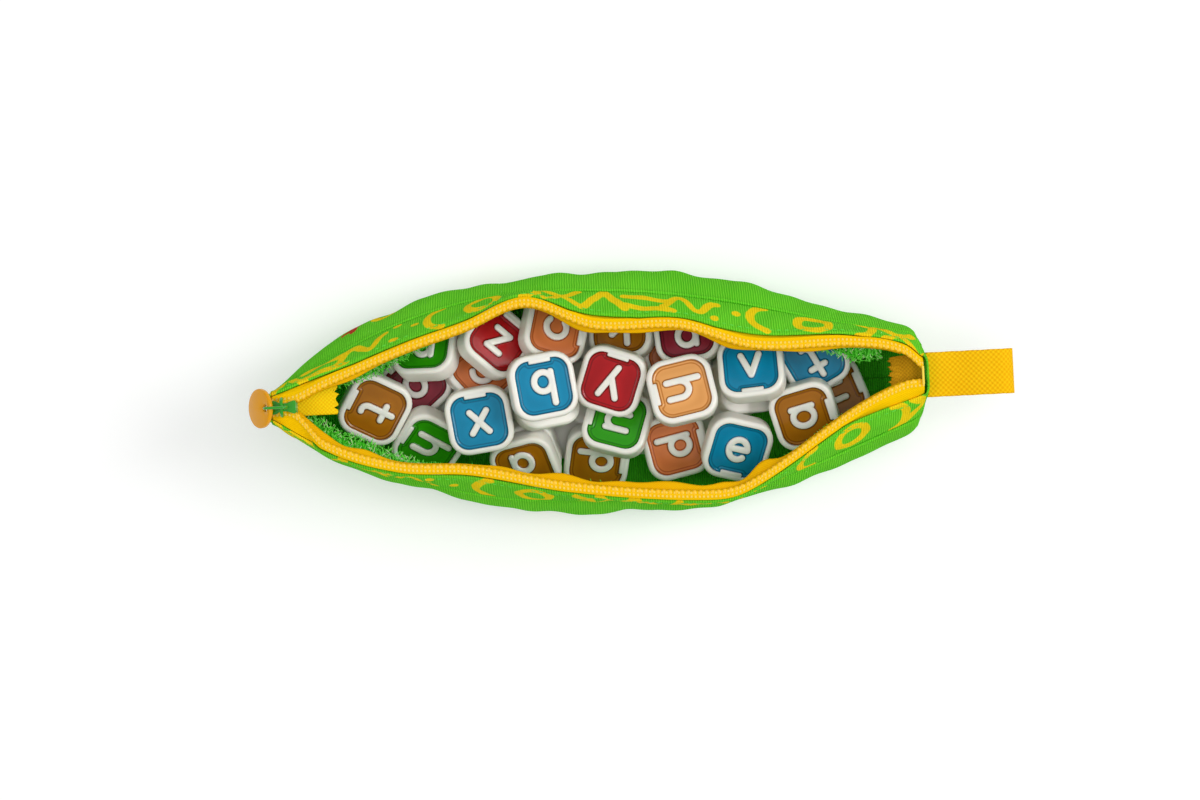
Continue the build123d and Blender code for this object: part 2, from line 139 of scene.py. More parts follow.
class Shader:
    """One material and the nodes that are added to it."""

    def __init__(self, name: str) -> None:
        """Start a material with a plain Principled shader.

        Args:
            name: The material's name.
        """
        self.material = bpy.data.materials.new(name)
        self.material.use_nodes = True
        self.tree = self.material.node_tree
        self.surface = self.tree.nodes["Principled BSDF"]

    def node(
        self,
        kind: str,
        settings: dict[str, object] | None = None,
        inputs: dict[str | int, object] | None = None,
    ) -> bpy.types.Node:
        """Add a node.

        Args:
            kind: The node's type.
            settings: Its properties, and "stops" for a colour ramp's stops.
            inputs: A value, a Number or a socket for each input, by name or number.

        Returns:
            The new node.
        """
        made = self.tree.nodes.new(kind)
        for key, value in (settings or {}).items():
            if key == "stops":
                for element, (place, colour) in zip(made.color_ramp.elements, value):
                    element.position, element.color = place, (*colour, 1)
            else:
                setattr(made, key, value)
        for key, value in (inputs or {}).items():
            self.connect(made.inputs[key], value)
        return made

    def connect(self, socket: bpy.types.NodeSocket, value: object) -> None:
        """Give an input a link or a fixed value.

        Args:
            socket: The input.
            value: A Number, a socket, a colour or a plain value.
        """
        if isinstance(value, Number):
            self.tree.links.new(value.socket, socket)
        elif isinstance(value, bpy.types.NodeSocket):
            self.tree.links.new(value, socket)
        elif isinstance(value, tuple) and len(value) == 3 and socket.type == "RGBA":
            socket.default_value = (*value, 1)
        else:
            socket.default_value = value

    def dress(self, values: dict[str, object]) -> None:
        """Give the surface's sockets, by name, their links and fixed values."""
        for name, value in values.items():
            self.connect(self.surface.inputs[name], value)

    def math(self, operation: str, *values: Number | float) -> Number:
        """A Math node's result, from its operation and its inputs."""
        made = self.node("ShaderNodeMath", {"operation": operation}, dict(enumerate(values)))
        return Number(self, made.outputs[0])

    def wave(self, value: Number, pitch: float) -> Number:
        """A wave from 0 to 1 along a length."""
        return self.math("SINE", value * (2 * math.pi / pitch)) * 0.5 + 0.5

    def step(self, value: Number, start: float, end: float) -> Number:
        """A smooth step, 0 where the value is at start and 1 where it is at end.

        Args:
            value: What is compared.
            start: The value that gives 0.
            end: The value that gives 1.

        Returns:
            The step's height.
        """
        low, high, out = (start, end, (0.0, 1.0)) if start < end else (end, start, (1.0, 0.0))
        made = self.node(
            "ShaderNodeMapRange",
            {"interpolation_type": "SMOOTHSTEP"},
            {"Value": value, "From Min": low, "From Max": high, "To Min": out[0], "To Max": out[1]},
        )
        return Number(self, made.outputs[0])

    def cut(self) -> tuple[Number, Number]:
        """The place on a cloth's cut, in millimetres.

        Returns:
            The length along the cloth and across it.
        """
        uv = self.node("ShaderNodeUVMap", {"uv_map": "cut"})
        parts = self.node("ShaderNodeSeparateXYZ", {}, {0: uv.outputs[0]})
        return Number(self, parts.outputs[0]), Number(self, parts.outputs[1])

    def attribute(self, name: str) -> Number:
        """A number that the mesh holds at its points, by its name."""
        made = self.node("ShaderNodeAttribute", {"attribute_name": name})
        return Number(self, made.outputs["Fac"])

    def noise(self, scale: float, detail: float = 2.0) -> Number:
        """Noise from 0 to 1 in the object's own space.

        Args:
            scale: Its scale, per metre.
            detail: How many finer layers it has.

        Returns:
            The noise.
        """
        place = self.node("ShaderNodeTexCoord").outputs["Object"]
        inputs = {"Vector": place, "Scale": scale, "Detail": detail}
        return Number(self, self.node("ShaderNodeTexNoise", {}, inputs).outputs["Fac"])

    def mix(self, share: Number | float, first: object, second: object) -> bpy.types.NodeSocket:
        """A mix of two colours, by the share of the second."""
        made = self.node("ShaderNodeMix", {"data_type": "RGBA"}, {0: share, 6: first, 7: second})
        return made.outputs[2]

    def relief(self, height: Number, distance: float, strength: float = 1.0) -> None:
        """Raise the surface's shading by a height, a share of a distance in millimetres."""
        inputs = {"Height": height, "Distance": distance * MM, "Strength": strength}
        self.dress({"Normal": self.node("ShaderNodeBump", {}, inputs).outputs[0]})


def srgb(code: str) -> Colour:
    """A colour's linear red, green and blue, from six hexadecimal digits."""
    parts = (int(code[i : i + 2], 16) / 255 for i in (0, 2, 4))
    return tuple(p / 12.92 if p <= 0.04045 else ((p + 0.055) / 1.055) ** 2.4 for p in parts)


@dataclass(frozen=True)
class Ink:
    """A printed colour, kept on the mesh as the distance to its nearest stroke."""

    attribute: str
    colour: str


@dataclass(frozen=True)
class Canvas:
    """Ribbed cotton canvas, bare or printed, its ribs lighter and darker in colour as painted
    highlight and painted shade.
    """

    name: str
    # The canvas's lighter and darker tones. The swing between them with the ribs is painted
    # highlight and painted shade.
    light: str = "8CF040"
    dark: str = "30B808"
    rib: float = 0.82
    inks: tuple[Ink, ...] = ()

    def material(self) -> bpy.types.Material:
        """Build the material.

        Returns:
            The material.
        """
        shader = Shader(self.name)
        along, across = shader.cut()
        drift = shader.noise(260, 3)
        ribs = shader.wave(along + drift * 0.5, self.rib)
        picks = shader.wave(across + drift * 0.4, self.rib * 0.62)
        weave = ribs * 0.7 + picks * 0.3
        patches = shader.noise(45, 2)
        # Painted highlight on the ribs' crests and painted shade in their grooves, with tone that
        # differs at random from the patches.
        shade = weave * 0.72 + patches * 0.28
        colour = shader.mix(shade, srgb(self.dark), srgb(self.light))
        for ink in self.inks:
            edge = shader.attribute(ink.attribute) + (drift - 0.5) * 0.9
            cover = shader.step(edge, 0.22, -0.22) * (weave * 0.1 + 0.9)
            colour = shader.mix(cover, colour, srgb(ink.colour))
        shader.dress({"Base Color": colour, "Roughness": 0.9, "Specular IOR Level": 0.02})
        shader.relief(weave + shader.noise(90, 3) * 0.6, 0.3, 0.9)
        return shader.material


@dataclass(frozen=True)
class Webbing:
    """Basket-woven webbing or tape, its weave lighter and darker in colour as painted highlight and
    painted shade, with paler rows of stitches and painted shade along them where it has them.
    """

    name: str
    # The lighter and darker tones. The swing between them with the weave is painted highlight and
    # painted shade.
    light: str
    dark: str
    pitch: float
    depth: float
    rows: tuple[float, ...] = ()
    stitch: float = 1.35
    thread: str = "FFEC82"

    def material(self) -> bpy.types.Material:
        """Build the material.

        Returns:
            The material.
        """
        shader = Shader(self.name)
        along, across = shader.cut()
        drift = shader.noise(300, 2)
        warp = shader.wave(along + drift * 0.3, self.pitch)
        weft = shader.wave(across + drift * 0.3, self.pitch)
        weave = warp * weft + (1 - warp) * (1 - weft)
        # Painted highlight on the raised threads and painted shade between them, with tone that
        # differs at random from the noise.
        shade = weave * 0.6 + shader.noise(60, 2) * 0.4
        colour = shader.mix(shade, srgb(self.dark), srgb(self.light))
        height = weave * 0.6
        for place in self.rows:
            near = shader.step(shader.math("ABSOLUTE", across - place), 0.5, 0.3)
            mark = near * shader.step(shader.wave(along, self.stitch), 0.35, 0.6)
            # Painted shade along the row of stitches, under the paler thread.
            colour = shader.mix(near * 0.5, colour, srgb(self.dark))
            colour = shader.mix(mark * 0.5, colour, srgb(self.thread))
            height = height + mark * 0.9
        shader.dress({"Base Color": colour, "Roughness": 0.75, "Specular IOR Level": 0.02})
        shader.relief(height, self.depth, 0.8)
        return shader.material


@dataclass(frozen=True)
class Moulded:
    """Glossy moulded plastic or enamel of one colour."""

    name: str
    colour: str
    roughness: float = 0.25
    coat: float = 0.3
    transmission: float = 0.0
    subsurface: float = 0.0
    specular: float = 0.5

    def material(self) -> bpy.types.Material:
        """Build the material.

        Returns:
            The material.
        """
        shader = Shader(self.name)
        shader.dress(
            {
                "Base Color": srgb(self.colour),
                "Roughness": self.roughness,
                "Specular IOR Level": self.specular,
                "Coat Weight": self.coat,
                "Coat Roughness": 0.08,
                "Transmission Weight": self.transmission,
                "Subsurface Weight": self.subsurface,
                "Subsurface Scale": 0.002,
            }
        )
        return shader.material


@dataclass(frozen=True)
class Glaze:
    """The glossy colour of a tile's face, higher at the letter and at the rim, with painted shade
    where it meets them, a thin painted dark line where it starts to climb to the rim and a lighter
    painted highlight ring inside them.
    """

    name: str
    colour: str
    # The darker tone mixed in for the painted shade and the painted dark line, and a little in the
    # middle inside the painted highlight ring.
    edge: str
    # How far in from the rim the painted dark line lies, where the face starts to climb.
    line: float = 1.15

    def material(self) -> bpy.types.Material:
        """Build the material.

        Returns:
            The material.
        """
        shader = Shader(self.name)
        distance, rim = shader.attribute("edge"), shader.attribute("rim")
        # Painted shade where the face meets the letter and the rim.
        dark = shader.step(distance, 0.55, 0.28)
        # A thin painted dark line where the face starts to climb to the rim, its shade painted in.
        line = shader.step(shader.math("ABSOLUTE", rim - self.line), 0.34, 0.12)
        # Painted highlight: a lighter ring next to the letter and the rim, with the middle a little
        # darker.
        painted_highlight_falloff = shader.step(distance, 0.2, 3.5)
        colour = shader.mix(painted_highlight_falloff * 0.25, srgb(self.colour), srgb(self.edge))
        # Mix in the painted shade and the painted dark line.
        marked = shader.math("MAXIMUM", dark * 0.85, line * 0.8)
        colour = shader.mix(marked, colour, srgb(self.edge))
        shader.dress({"Base Color": colour, "Roughness": 0.16, "Specular IOR Level": 0.35})
        shader.dress({"Coat Weight": 0.15, "Coat Roughness": 0.06})
        climb = shader.step(rim, self.line, 0.1) + shader.step(distance, 0.5, 0.0)
        shader.relief(climb, 0.45, 0.9)
        return shader.material


class Finish(Enum):
    """The finishes of the pouch and its tiles."""

    CANVAS = Canvas("green_canvas")
    PRINTED = Canvas("printed_canvas", inks=(Ink("yellow_ink", "FFDC18"),))
    PANEL = Canvas(
        "panel_canvas",
        inks=(Ink("yellow_ink", "FFDC18"), Ink("red_ink", "C8322B"), Ink("blue_ink", "2C6FB0")),
    )
    # The inside's darker tone is lighter than the outer canvas's. This is painted light for the
    # pouch's shaded inside.
    INSIDE = Canvas("inside_canvas", light="6CF03C", dark="38C818")
    FRAYED = Canvas("frayed_canvas", light="54D030", dark="1F9A12", rib=1.4)
    TAPE = Webbing("sewn_tape", "FFDA08", "F6B000", pitch=0.8, depth=0.16, rows=(2.1, 3.45))
    TAPE_EDGE = Webbing("tape_edge", "FFCC10", "EAA400", pitch=0.8, depth=0.16)
    TAPE_END = Webbing("tape_end", "FFE41E", "F2B400", pitch=1.3, depth=0.3)
    STRAP = Webbing("strap_webbing", "FFD21A", "E89E00", pitch=1.7, depth=0.45)
    STRAP_TAIL = Webbing("strap_tail_webbing", "DFA81E", "A87208", pitch=1.3, depth=0.28)
    COIL = Moulded("coil_turns", "FFC41A", roughness=0.45, coat=0.1)
    THREAD = Moulded("green_thread", "62DC3C", roughness=0.7, coat=0.0)
    PALE_THREAD = Moulded("pale_thread", "C9E7A6", roughness=0.75, coat=0.0)
    YELLOW_THREAD = Moulded("yellow_thread", "FFD84A", roughness=0.7, coat=0.0)
    ENAMEL = Moulded("glossy_enamel", "2A9A18", roughness=0.2, coat=0.4)
    AMBER = Moulded(
        "clear_amber", "F0A50C", roughness=0.18, coat=0.1, transmission=0.1, specular=0.15
    )
    IVORY = Moulded("ivory_plastic", "F0EDE4", roughness=0.38, coat=0.2, subsurface=0.08)
    # A glaze's second colour is the darker tone of its painted shade and painted dark line.
    BLUE = Glaze("blue_glaze", "0E86AE", "0A5E7E")
    GREEN = Glaze("green_glaze", "2E9E0C", "176A06")
    RED = Glaze("red_glaze", "B0121A", "74090F")
    MAROON = Glaze("maroon_glaze", "8E2436", "5C1220")
    ORANGE = Glaze("orange_glaze", "D97B45", "A84F1F")
    BROWN = Glaze("brown_glaze", "A9690F", "7A4406")
    PEACH = Glaze("peach_glaze", "E5A45F", "B4691F")

    def made(self) -> bpy.types.Material:
        """The finish's material, built when it is first asked for."""
        return bpy.data.materials.get(self.value.name) or self.value.material()


# ------------------------------------------------------------------ meshes and pieces
def edges_where(bm: bmesh.types.BMesh, upright: bool) -> list[bmesh.types.BMEdge]:
    """A level-ended block's upright edges, or those round its ends."""
    rises = {e: abs(e.verts[0].co.z - e.verts[1].co.z) for e in bm.edges}
    return [e for e, rise in rises.items() if (rise > 1 if upright else rise < 1e-6)]


def bevel(
    bm: bmesh.types.BMesh, edges: list[bmesh.types.BMEdge], width: float, segments: int
) -> None:
    """Round some edges.

    Args:
        bm: Their mesh.
        edges: The edges.
        width: The rounding's width, in the mesh's unit.
        segments: How many faces it has.
    """
    bmesh.ops.bevel(
        bm,
        geom=edges,
        offset=width,
        affect="EDGES",
        segments=segments,
        profile=0.5,
        material=-1,
    )


def boundary(bm: bmesh.types.BMesh) -> list[bmesh.types.BMEdge]:
    """The edges round a mesh's openings."""
    return [e for e in bm.edges if e.is_boundary]


def moved_out(bm: bmesh.types.BMesh, faces: list[bmesh.types.BMFace], way: Vector) -> list:
    """Extrude some faces.

    Args:
        bm: Their mesh.
        faces: The faces.
        way: How far their copies go.

    Returns:
        What the extrusion made.
    """
    made = bmesh.ops.extrude_face_region(bm, geom=faces)["geom"]
    verts = [v for v in made if isinstance(v, bmesh.types.BMVert)]
    bmesh.ops.translate(bm, vec=way, verts=verts)
    return made


def merge(bm: bmesh.types.BMesh, part: bmesh.types.BMesh) -> None:
    """Add a finished part to a mesh.

    Args:
        bm: The mesh that it is added to.
        part: The part, which is freed.
    """
    mesh = bpy.data.meshes.new("part")
    part.to_mesh(mesh)
    part.free()
    bm.from_mesh(mesh)
    bpy.data.meshes.remove(mesh)


@dataclass(frozen=True)
class Cut:
    """The flat size of a sheet of cloth, in metres."""

    width: float
    length: float
    area: float


Sheet = tuple[bmesh.types.BMesh, Cut]


class Workshop:
    """Turns built meshes into pieces of the scene."""

    def __init__(self, frame: dict[str, object]) -> None:
        self.nodes: dict[str, bpy.types.Object] = frame["nodes"]

    def piece(
        self,
        bm: bmesh.types.BMesh,
        name: str,
        finish: Finish,
        nodes: Iterable[str] = (),
        body: str | None = None,
        sharp: float = 40.0,
        slot: str = "",
    ) -> bpy.types.Object:
        """Make a mesh into a piece.

        Args:
            bm: The mesh in metres, which is freed.
            name: The piece's name.
            finish: Its finish.
            nodes: The CAD nodes that it stands for.
            body: The body that it rides on, or None where it rides on none.
            sharp: The angle in degrees from which an edge stays sharp.
            slot: The record's material slot; not used.

        Returns:
            The new object.
        """
        mesh = bpy.data.meshes.new(name)
        bm.to_mesh(mesh)
        bm.free()
        mesh.shade_smooth()
        mesh.set_sharp_from_angle(angle=math.radians(sharp))
        mesh.materials.append(finish.made())
        made = bpy.data.objects.new(name, mesh)
        bpy.context.scene.collection.objects.link(made)
        if body:
            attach(made, body)
        if nodes:
            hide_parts(*nodes)
        LOG.info("%s: %d faces", name, len(mesh.polygons))
        return made

    def softened(
        self, node: str, width: float, segments: int = 2, angle: float = 30.0
    ) -> bmesh.types.BMesh:
        """A copy of a CAD node's mesh with its sharp edges rounded.

        Args:
            node: The CAD node.
            width: The rounding's width in millimetres.
            segments: How many faces it has.
            angle: The angle in degrees from which an edge is rounded.

        Returns:
            The copy, in metres.
        """
        bm = bmesh.new()
        bm.from_mesh(self.nodes[node].data)
        bmesh.ops.remove_doubles(bm, verts=bm.verts[:], dist=1e-6)
        flat = math.radians(1)
        bmesh.ops.dissolve_limit(bm, angle_limit=flat, verts=bm.verts[:], edges=bm.edges[:])
        shared = [e for e in bm.edges if len(e.link_faces) == 2]
        edges = [e for e in shared if e.calc_face_angle() > math.radians(angle)]
        bmesh.ops.bevel(
            bm,
            geom=edges,
            offset=width * MM,
            offset_type="OFFSET",
            affect="EDGES",
            segments=segments,
            profile=0.5,
            material=-1,
            clamp_overlap=True,
        )
        return bm


def thicken(
    piece: bpy.types.Object, thickness: float, cut: Cut, inside: Finish | None = None
) -> None:
    """Args:
        piece: The sheet.
        thickness: Its thickness in millimetres.
        cut: Its cut.
        inside: The finish of its inner face, where it has its own.
    """
    wall = piece.modifiers.new("thickness", "SOLIDIFY")
    wall.thickness = thickness * MM
    wall.offset = -1
    wall.use_even_offset = False
    if inside:
        piece.data.materials.append(inside.made())
        wall.material_offset = 1
    cut.width >= LEAST_SHEET


def grid_sheet(
    columns: Sequence[float],
    rows: Sequence[float],
    place: Callable[[float, float], Vector],
    facing: Vector,
) -> Sheet:
    """A sheet of quads laid over a surface, with the lengths on its cut in a UV map.

    Args:
        columns: The values along the sheet.
        rows: The values across it.
        place: The place in millimetres for a value of each.
        facing: The way that most of it faces.

    Returns:
        The sheet in metres, and the size of its cut.
    """
    bm = bmesh.new()
    nx, ny = len(columns) - 1, len(rows) - 1
    bmesh.ops.create_grid(bm, x_segments=nx, y_segments=ny, size=0.5)
    spots = [[place(c, r) for r in rows] for c in columns]
    middle = len(rows) // 2
    run = [0.0]
    for i in range(nx):
        run.append(run[-1] + (spots[i + 1][middle] - spots[i][middle]).length)
    rise = []
    for column in spots:
        climb = [0.0]
        for j in range(ny):
            climb.append(climb[-1] + (column[j + 1] - column[j]).length)
        rise.append(climb)
    index = {}
    for vertex in bm.verts:
        i, j = round((vertex.co.x + 0.5) * nx), round((vertex.co.y + 0.5) * ny)
        index[vertex] = (i, j)
        vertex.co = spots[i][j] * MM
    layer = bm.loops.layers.uv.new("cut")
    for face in bm.faces:
        for loop in face.loops:
            i, j = index[loop.vert]
            loop[layer].uv = (run[i], rise[i][j])
    bm.normal_update()
    total = sum((face.normal * face.calc_area() for face in bm.faces), Vector())
    if total.dot(facing) < 0:
        bmesh.ops.reverse_faces(bm, faces=bm.faces[:])
    area = sum(face.calc_area() for face in bm.faces)
    width = max(climb[-1] for climb in rise) * MM
    return bm, Cut(width, run[-1] * MM, min(area, width * run[-1] * MM))


def spread(start: float, end: float, count: int) -> list[float]:
    """Values at even steps, from the start to the end."""
    return [start + (end - start) * i / count for i in range(count + 1)]


def humps(places: Iterable[tuple[float, float, float]], s: float) -> float:
    """The height at a station of some smooth humps, each a (station, width, height)."""
    return sum(high * math.exp(-(((s - at) / wide) ** 2)) for at, wide, high in places)


def ink_distance(points: np.ndarray, strokes: Iterable[Path], half: float) -> np.ndarray:
    """The distance from places on a cut to the edge of the nearest stroke.

    Args:
        points: The places, two numbers each.
        strokes: The strokes' middle lines.
        half: Half a stroke's width.

    Returns:
        The distances, below 0 inside a stroke.
    """
    best = np.full(len(points), 1e3)
    for stroke in strokes:
        for (x0, y0), (x1, y1) in zip(stroke, stroke[1:]):
            a, d = np.array((x0, y0)), np.array((x1 - x0, y1 - y0))
            share = np.clip((points - a) @ d / max(d @ d, 1e-9), 0, 1)
            best = np.minimum(best, np.linalg.norm(points - a - share[:, None] * d, axis=1))
    return best - half


def write_distance(piece: bpy.types.Object, name: str, values: np.ndarray) -> None:
    """Keep a distance at each point of a piece, as an attribute."""
    layer = piece.data.attributes.new(name, "FLOAT", "POINT")
    layer.data.foreach_set("value", values.astype(np.float32))


def cut_places(piece: bpy.types.Object) -> np.ndarray:
    """Where each point of a sheet lies on its cut.

    Args:
        piece: The sheet.

    Returns:
        Two numbers in millimetres for each point.
    """
    mesh = piece.data
    found = np.zeros((len(mesh.vertices), 2))
    for loop, uv in zip(mesh.loops, mesh.uv_layers["cut"].data):
        found[loop.vertex_index] = uv.uv
    return found


def arc(
    x: float, y: float, rx: float, ry: float, start: float, end: float, steps: int = 12
) -> list[tuple[float, float]]:
    """Points on an arc about (x, y), from one angle in degrees to another."""
    angles = (math.radians(a) for a in spread(start, end, steps))
    return [(x + rx * math.cos(a), y + ry * math.sin(a)) for a in angles]


# ------------------------------------------------------------------ the pouch's lines
def each_side(back: Line, front: Line) -> dict[Side, Line]:
    """A dataclass field with a line for each side."""
    return field(default_factory=lambda: {Side.BACK: back, Side.FRONT: front})


@dataclass(frozen=True)
class ClothLines:
    """The outside of the pouch: lines along its length, as shares of a half width or a height.

    A line is a list of (station, share), where the station runs from -1 at the tip to 1 at the
    loop's end.
    """

    half_length: float = 107.5
    base_half: float = 23.0
    belly_half: float = 41.0
    seam_half: float = 37.0
    root_half: float = 34.0
    mouth_half: float = 31.0
    belly_height: float = 22.0
    seam_height: float = 40.0
    root_height: float = 54.4
    chain_height: float = 57.0
    chain_width: float = 1.8
    tape_least: float = 2.6
    base_cut: float = 0.4
    seam_gap: float = 0.15
    end_rise: float = 2.05
    flat_end: float = 0.9
    travel: float = 34.0
    corner: float = 4.5
    slope_step: float = 0.01
    base: Line = (
        (-1, 0.10), (-0.80, 0.30), (-0.55, 0.68), (-0.2, 0.97),
        (0.1, 1.0), (0.45, 0.86), (0.75, 0.55), (1, 0.26),
    )
    underside: Line = (
        (-1, 1.05), (-0.84, 0.36), (-0.68, 0.04), (-0.55, 0.0),
        (0.70, 0.0), (0.84, 0.20), (1, 0.70),
    )
    belly_rise: Line = ((-1, 1.65), (-0.7, 1.12), (-0.4, 1.0), (0.6, 1.0), (1, 1.40))
    seam_rise: Line = ((-1, 1.12), (-0.6, 1.0), (0.6, 1.0), (1, 1.12))
    belly: dict[Side, Line] = each_side(
        back=(
            (-1, 0.15), (-0.84, 0.50), (-0.55, 0.84), (-0.20, 0.97),
            (0.05, 1.0), (0.40, 0.90), (0.75, 0.60), (1, 0.39),
        ),
        front=(
            (-1, 0.15), (-0.84, 0.45), (-0.55, 0.74), (-0.20, 0.97),
            (0.05, 1.0), (0.40, 0.95), (0.75, 0.72), (1, 0.43),
        ),
    )
    seam: dict[Side, Line] = each_side(
        back=(
            (-1, 0.15), (-0.84, 0.41), (-0.58, 0.74), (-0.30, 0.92),
            (0.05, 0.92), (0.40, 0.78), (0.75, 0.53), (1, 0.38),
        ),
        front=(
            (-1, 0.15), (-0.84, 0.46), (-0.58, 0.73), (-0.30, 0.93),
            (0.05, 1.0), (0.35, 1.05), (0.60, 0.83), (1, 0.385),
        ),
    )
    root: dict[Side, Line] = each_side(
        back=(
            (-1, 0.14), (-0.84, 0.31), (-0.58, 0.57), (-0.21, 0.92), (0, 0.76),
            (0.26, 0.67), (0.50, 0.49), (0.80, 0.44), (1, 0.20),
        ),
        front=(
            (-1, 0.14), (-0.84, 0.44), (-0.60, 0.66), (-0.40, 0.73), (-0.1, 0.94),
            (0.28, 1.07), (0.45, 1.0), (0.75, 0.47), (1, 0.20),
        ),
    )
    mouth: dict[Side, Line] = each_side(
        back=(
            (-1, 0.01), (-0.93, 0.03), (-0.84, 0.17), (-0.58, 0.51), (-0.40, 0.70), (-0.21, 0.93),
            (0, 0.66), (0.26, 0.62), (0.48, 0.37), (0.78, 0.34), (0.93, 0.24), (1, 0.03),
        ),
        front=(
            (-1, 0.01), (-0.93, 0.03), (-0.84, 0.37), (-0.62, 0.64), (-0.40, 0.71), (-0.1, 0.94),
            (0.28, 1.09), (0.44, 1.03), (0.78, 0.30), (0.93, 0.06), (1, 0.03),
        ),
    )

    @staticmethod
    def along(line: Line, s: float) -> float:
        """A line's value at a station, on a smooth curve through its points.

        Args:
            line: The line.
            s: The station, from -1 at the tip to 1 at the loop's end.

        Returns:
            The share there.
        """
        last = len(line) - 1
        i = max(k for k in range(last) if k == 0 or line[k][0] <= s)
        (s0, v0), (s1, v1) = line[i], line[i + 1]

        def slope(k: int) -> float:
            """The line's slope at one of its points."""
            a, b = line[max(k - 1, 0)], line[min(k + 1, last)]
            return (b[1] - a[1]) / (b[0] - a[0])

        step = s1 - s0
        t = (s - s0) / step
        value = (2 * t**3 - 3 * t**2 + 1) * v0 + (3 * t**2 - 2 * t**3) * v1
        return value + step * ((t**3 - 2 * t**2 + t) * slope(i) + (t**3 - t**2) * slope(i + 1))

    def mouth_at(self, side: Side, s: float) -> float:
        """How far the mouth's edge is from the middle."""
        return self.mouth_half * self.along(self.mouth[side], s)

    def wall(self, side: Side, s: float) -> dict[str, tuple[float, float]]:
        """The outside of one wall at a station.

        Args:
            side: The wall.
            s: The station.

        Returns:
            Its corners, each as (out from the middle, up).
        """
        mouth = self.mouth_at(side, s)
        step = self.slope_step
        ahead, behind = self.mouth_at(side, s + step), self.mouth_at(side, s - step)
        slope = (ahead - behind) / (2 * step * self.half_length)
        coil = mouth + self.chain_width * math.hypot(1, slope)
        root = max(self.root_half * self.along(self.root[side], s), coil + self.tape_least)
        seam = self.seam_half * self.along(self.seam[side], s)
        belly = self.belly_half * self.along(self.belly[side], s)
        floor = self.belly_height * self.along(self.underside, s) - self.base_cut
        near = max(0.0, 1 - self.half_length * (1 - s) / self.corner)
        trim = 0.75 * self.corner * (1 - math.sqrt(max(0.0, 1 - near**2)))
        return {
            "base": (self.base_half * self.along(self.base, s), floor),
            "belly": (belly - trim, self.belly_height * self.along(self.belly_rise, s)),
            "seam": (
                max(seam - trim, root + self.seam_gap),
                self.seam_height * self.along(self.seam_rise, s),
            ),
            "root": (root, self.root_height + self.end_rise * min(abs(s) / self.flat_end, 1) ** 4),
            "mouth": (mouth, self.chain_height),
        }

    def point(self, side: Side, s: float, out: float, up: float) -> Vector:
        """A point of one side, by its station, its distance from the middle and its height."""
        return Vector((self.half_length * s, side.value * out, up))

    def band_slope(self, side: Side, s: float) -> tuple[Vector, Vector, Vector]:
        """The top band's straight line at a station, as (0, out, up).

        Args:
            side: The wall.
            s: The station.

        Returns:
            Its upper end, the way up along it and the way out of it.
        """
        w = self.wall(side, s)
        high = Vector((0, *w["root"]))
        up = (high - Vector((0, *w["seam"]))).normalized()
        return high, up, Vector((0, up.z, -up.y))

    def flare(self, side: Side, s: float) -> float:
        """How far the seam allowance leans in over the mouth.

        Args:
            side: The wall.
            s: The station.

        Returns:
            The lean at its lower edge.
        """
        leans = {
            Side.FRONT: ((-0.86, 0.1, 5.5), (-0.7, 0.12, 4.5), (0.1, 0.3, 1.2)),
            Side.BACK: ((0.8, 0.12, 5.0), (-0.7, 0.15, 3.4)),
        }
        return humps(leans[side], s)

    def follow(self, side: Side, point: Vector) -> float:
        """The share of the lip's travel that a point of the cloth takes as the zip closes.

        Args:
            side: The wall.
            point: The point, in metres.

        Returns:
            The share, 0 at the panel's seam.
        """
        w = self.wall(side, max(-1.0, min(1.0, point.x / MM / self.half_length)))
        z, low = point.z / MM, w["seam"][1] + 1.0
        rise = max(0.0, min(1.0, (z - low) / (w["root"][1] - low)))
        return max(0.0, w["mouth"][0] / self.travel) * rise**3

    def arc_points(self, side: Side, s: float, steps: int) -> list[tuple[float, float]]:
        """The round of the panel from the base over the belly to the seam.

        Args:
            side: The wall.
            s: The station.
            steps: How many steps there are.

        Returns:
            The points, each as (out, up).
        """
        w = self.wall(side, s)
        (y0, z0), (y1, z1), (y2, z2) = w["base"], w["belly"], w["seam"]
        a, b, c = (y * y + z * z for y, z in ((y0, z0), (y1, z1), (y2, z2)))
        twice = 2 * (y0 * (z1 - z2) + y1 * (z2 - z0) + y2 * (z0 - z1))
        cy = (a * (z1 - z2) + b * (z2 - z0) + c * (z0 - z1)) / twice
        cz = (a * (y2 - y1) + b * (y0 - y2) + c * (y1 - y0)) / twice
        radius = math.hypot(y0 - cy, z0 - cz)
        start, end = math.atan2(z0 - cz, y0 - cy), math.atan2(z2 - cz, y2 - cy)
        if end < start:
            end += 2 * math.pi
        angles = spread(start, end, steps)
        return [(cy + radius * math.cos(turn), cz + radius * math.sin(turn)) for turn in angles]


def bend_with_lip(
    piece: bpy.types.Object, side: Side, share: Callable[[Side, Vector], float]
) -> None:
    """Bake a cloth piece's place into its mesh and reckon, for each of its points, the share of the
    lip's travel that it would take as the zip closes; nothing uses the shares.

    Args:
        piece: The piece, which rides on no body yet.
        side: Its side.
        share: The share of the lip's travel that a side's point takes, the point in metres.
    """
    side.lip
    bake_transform(piece)
    shares = [share(side, vertex.co) for vertex in piece.data.vertices]


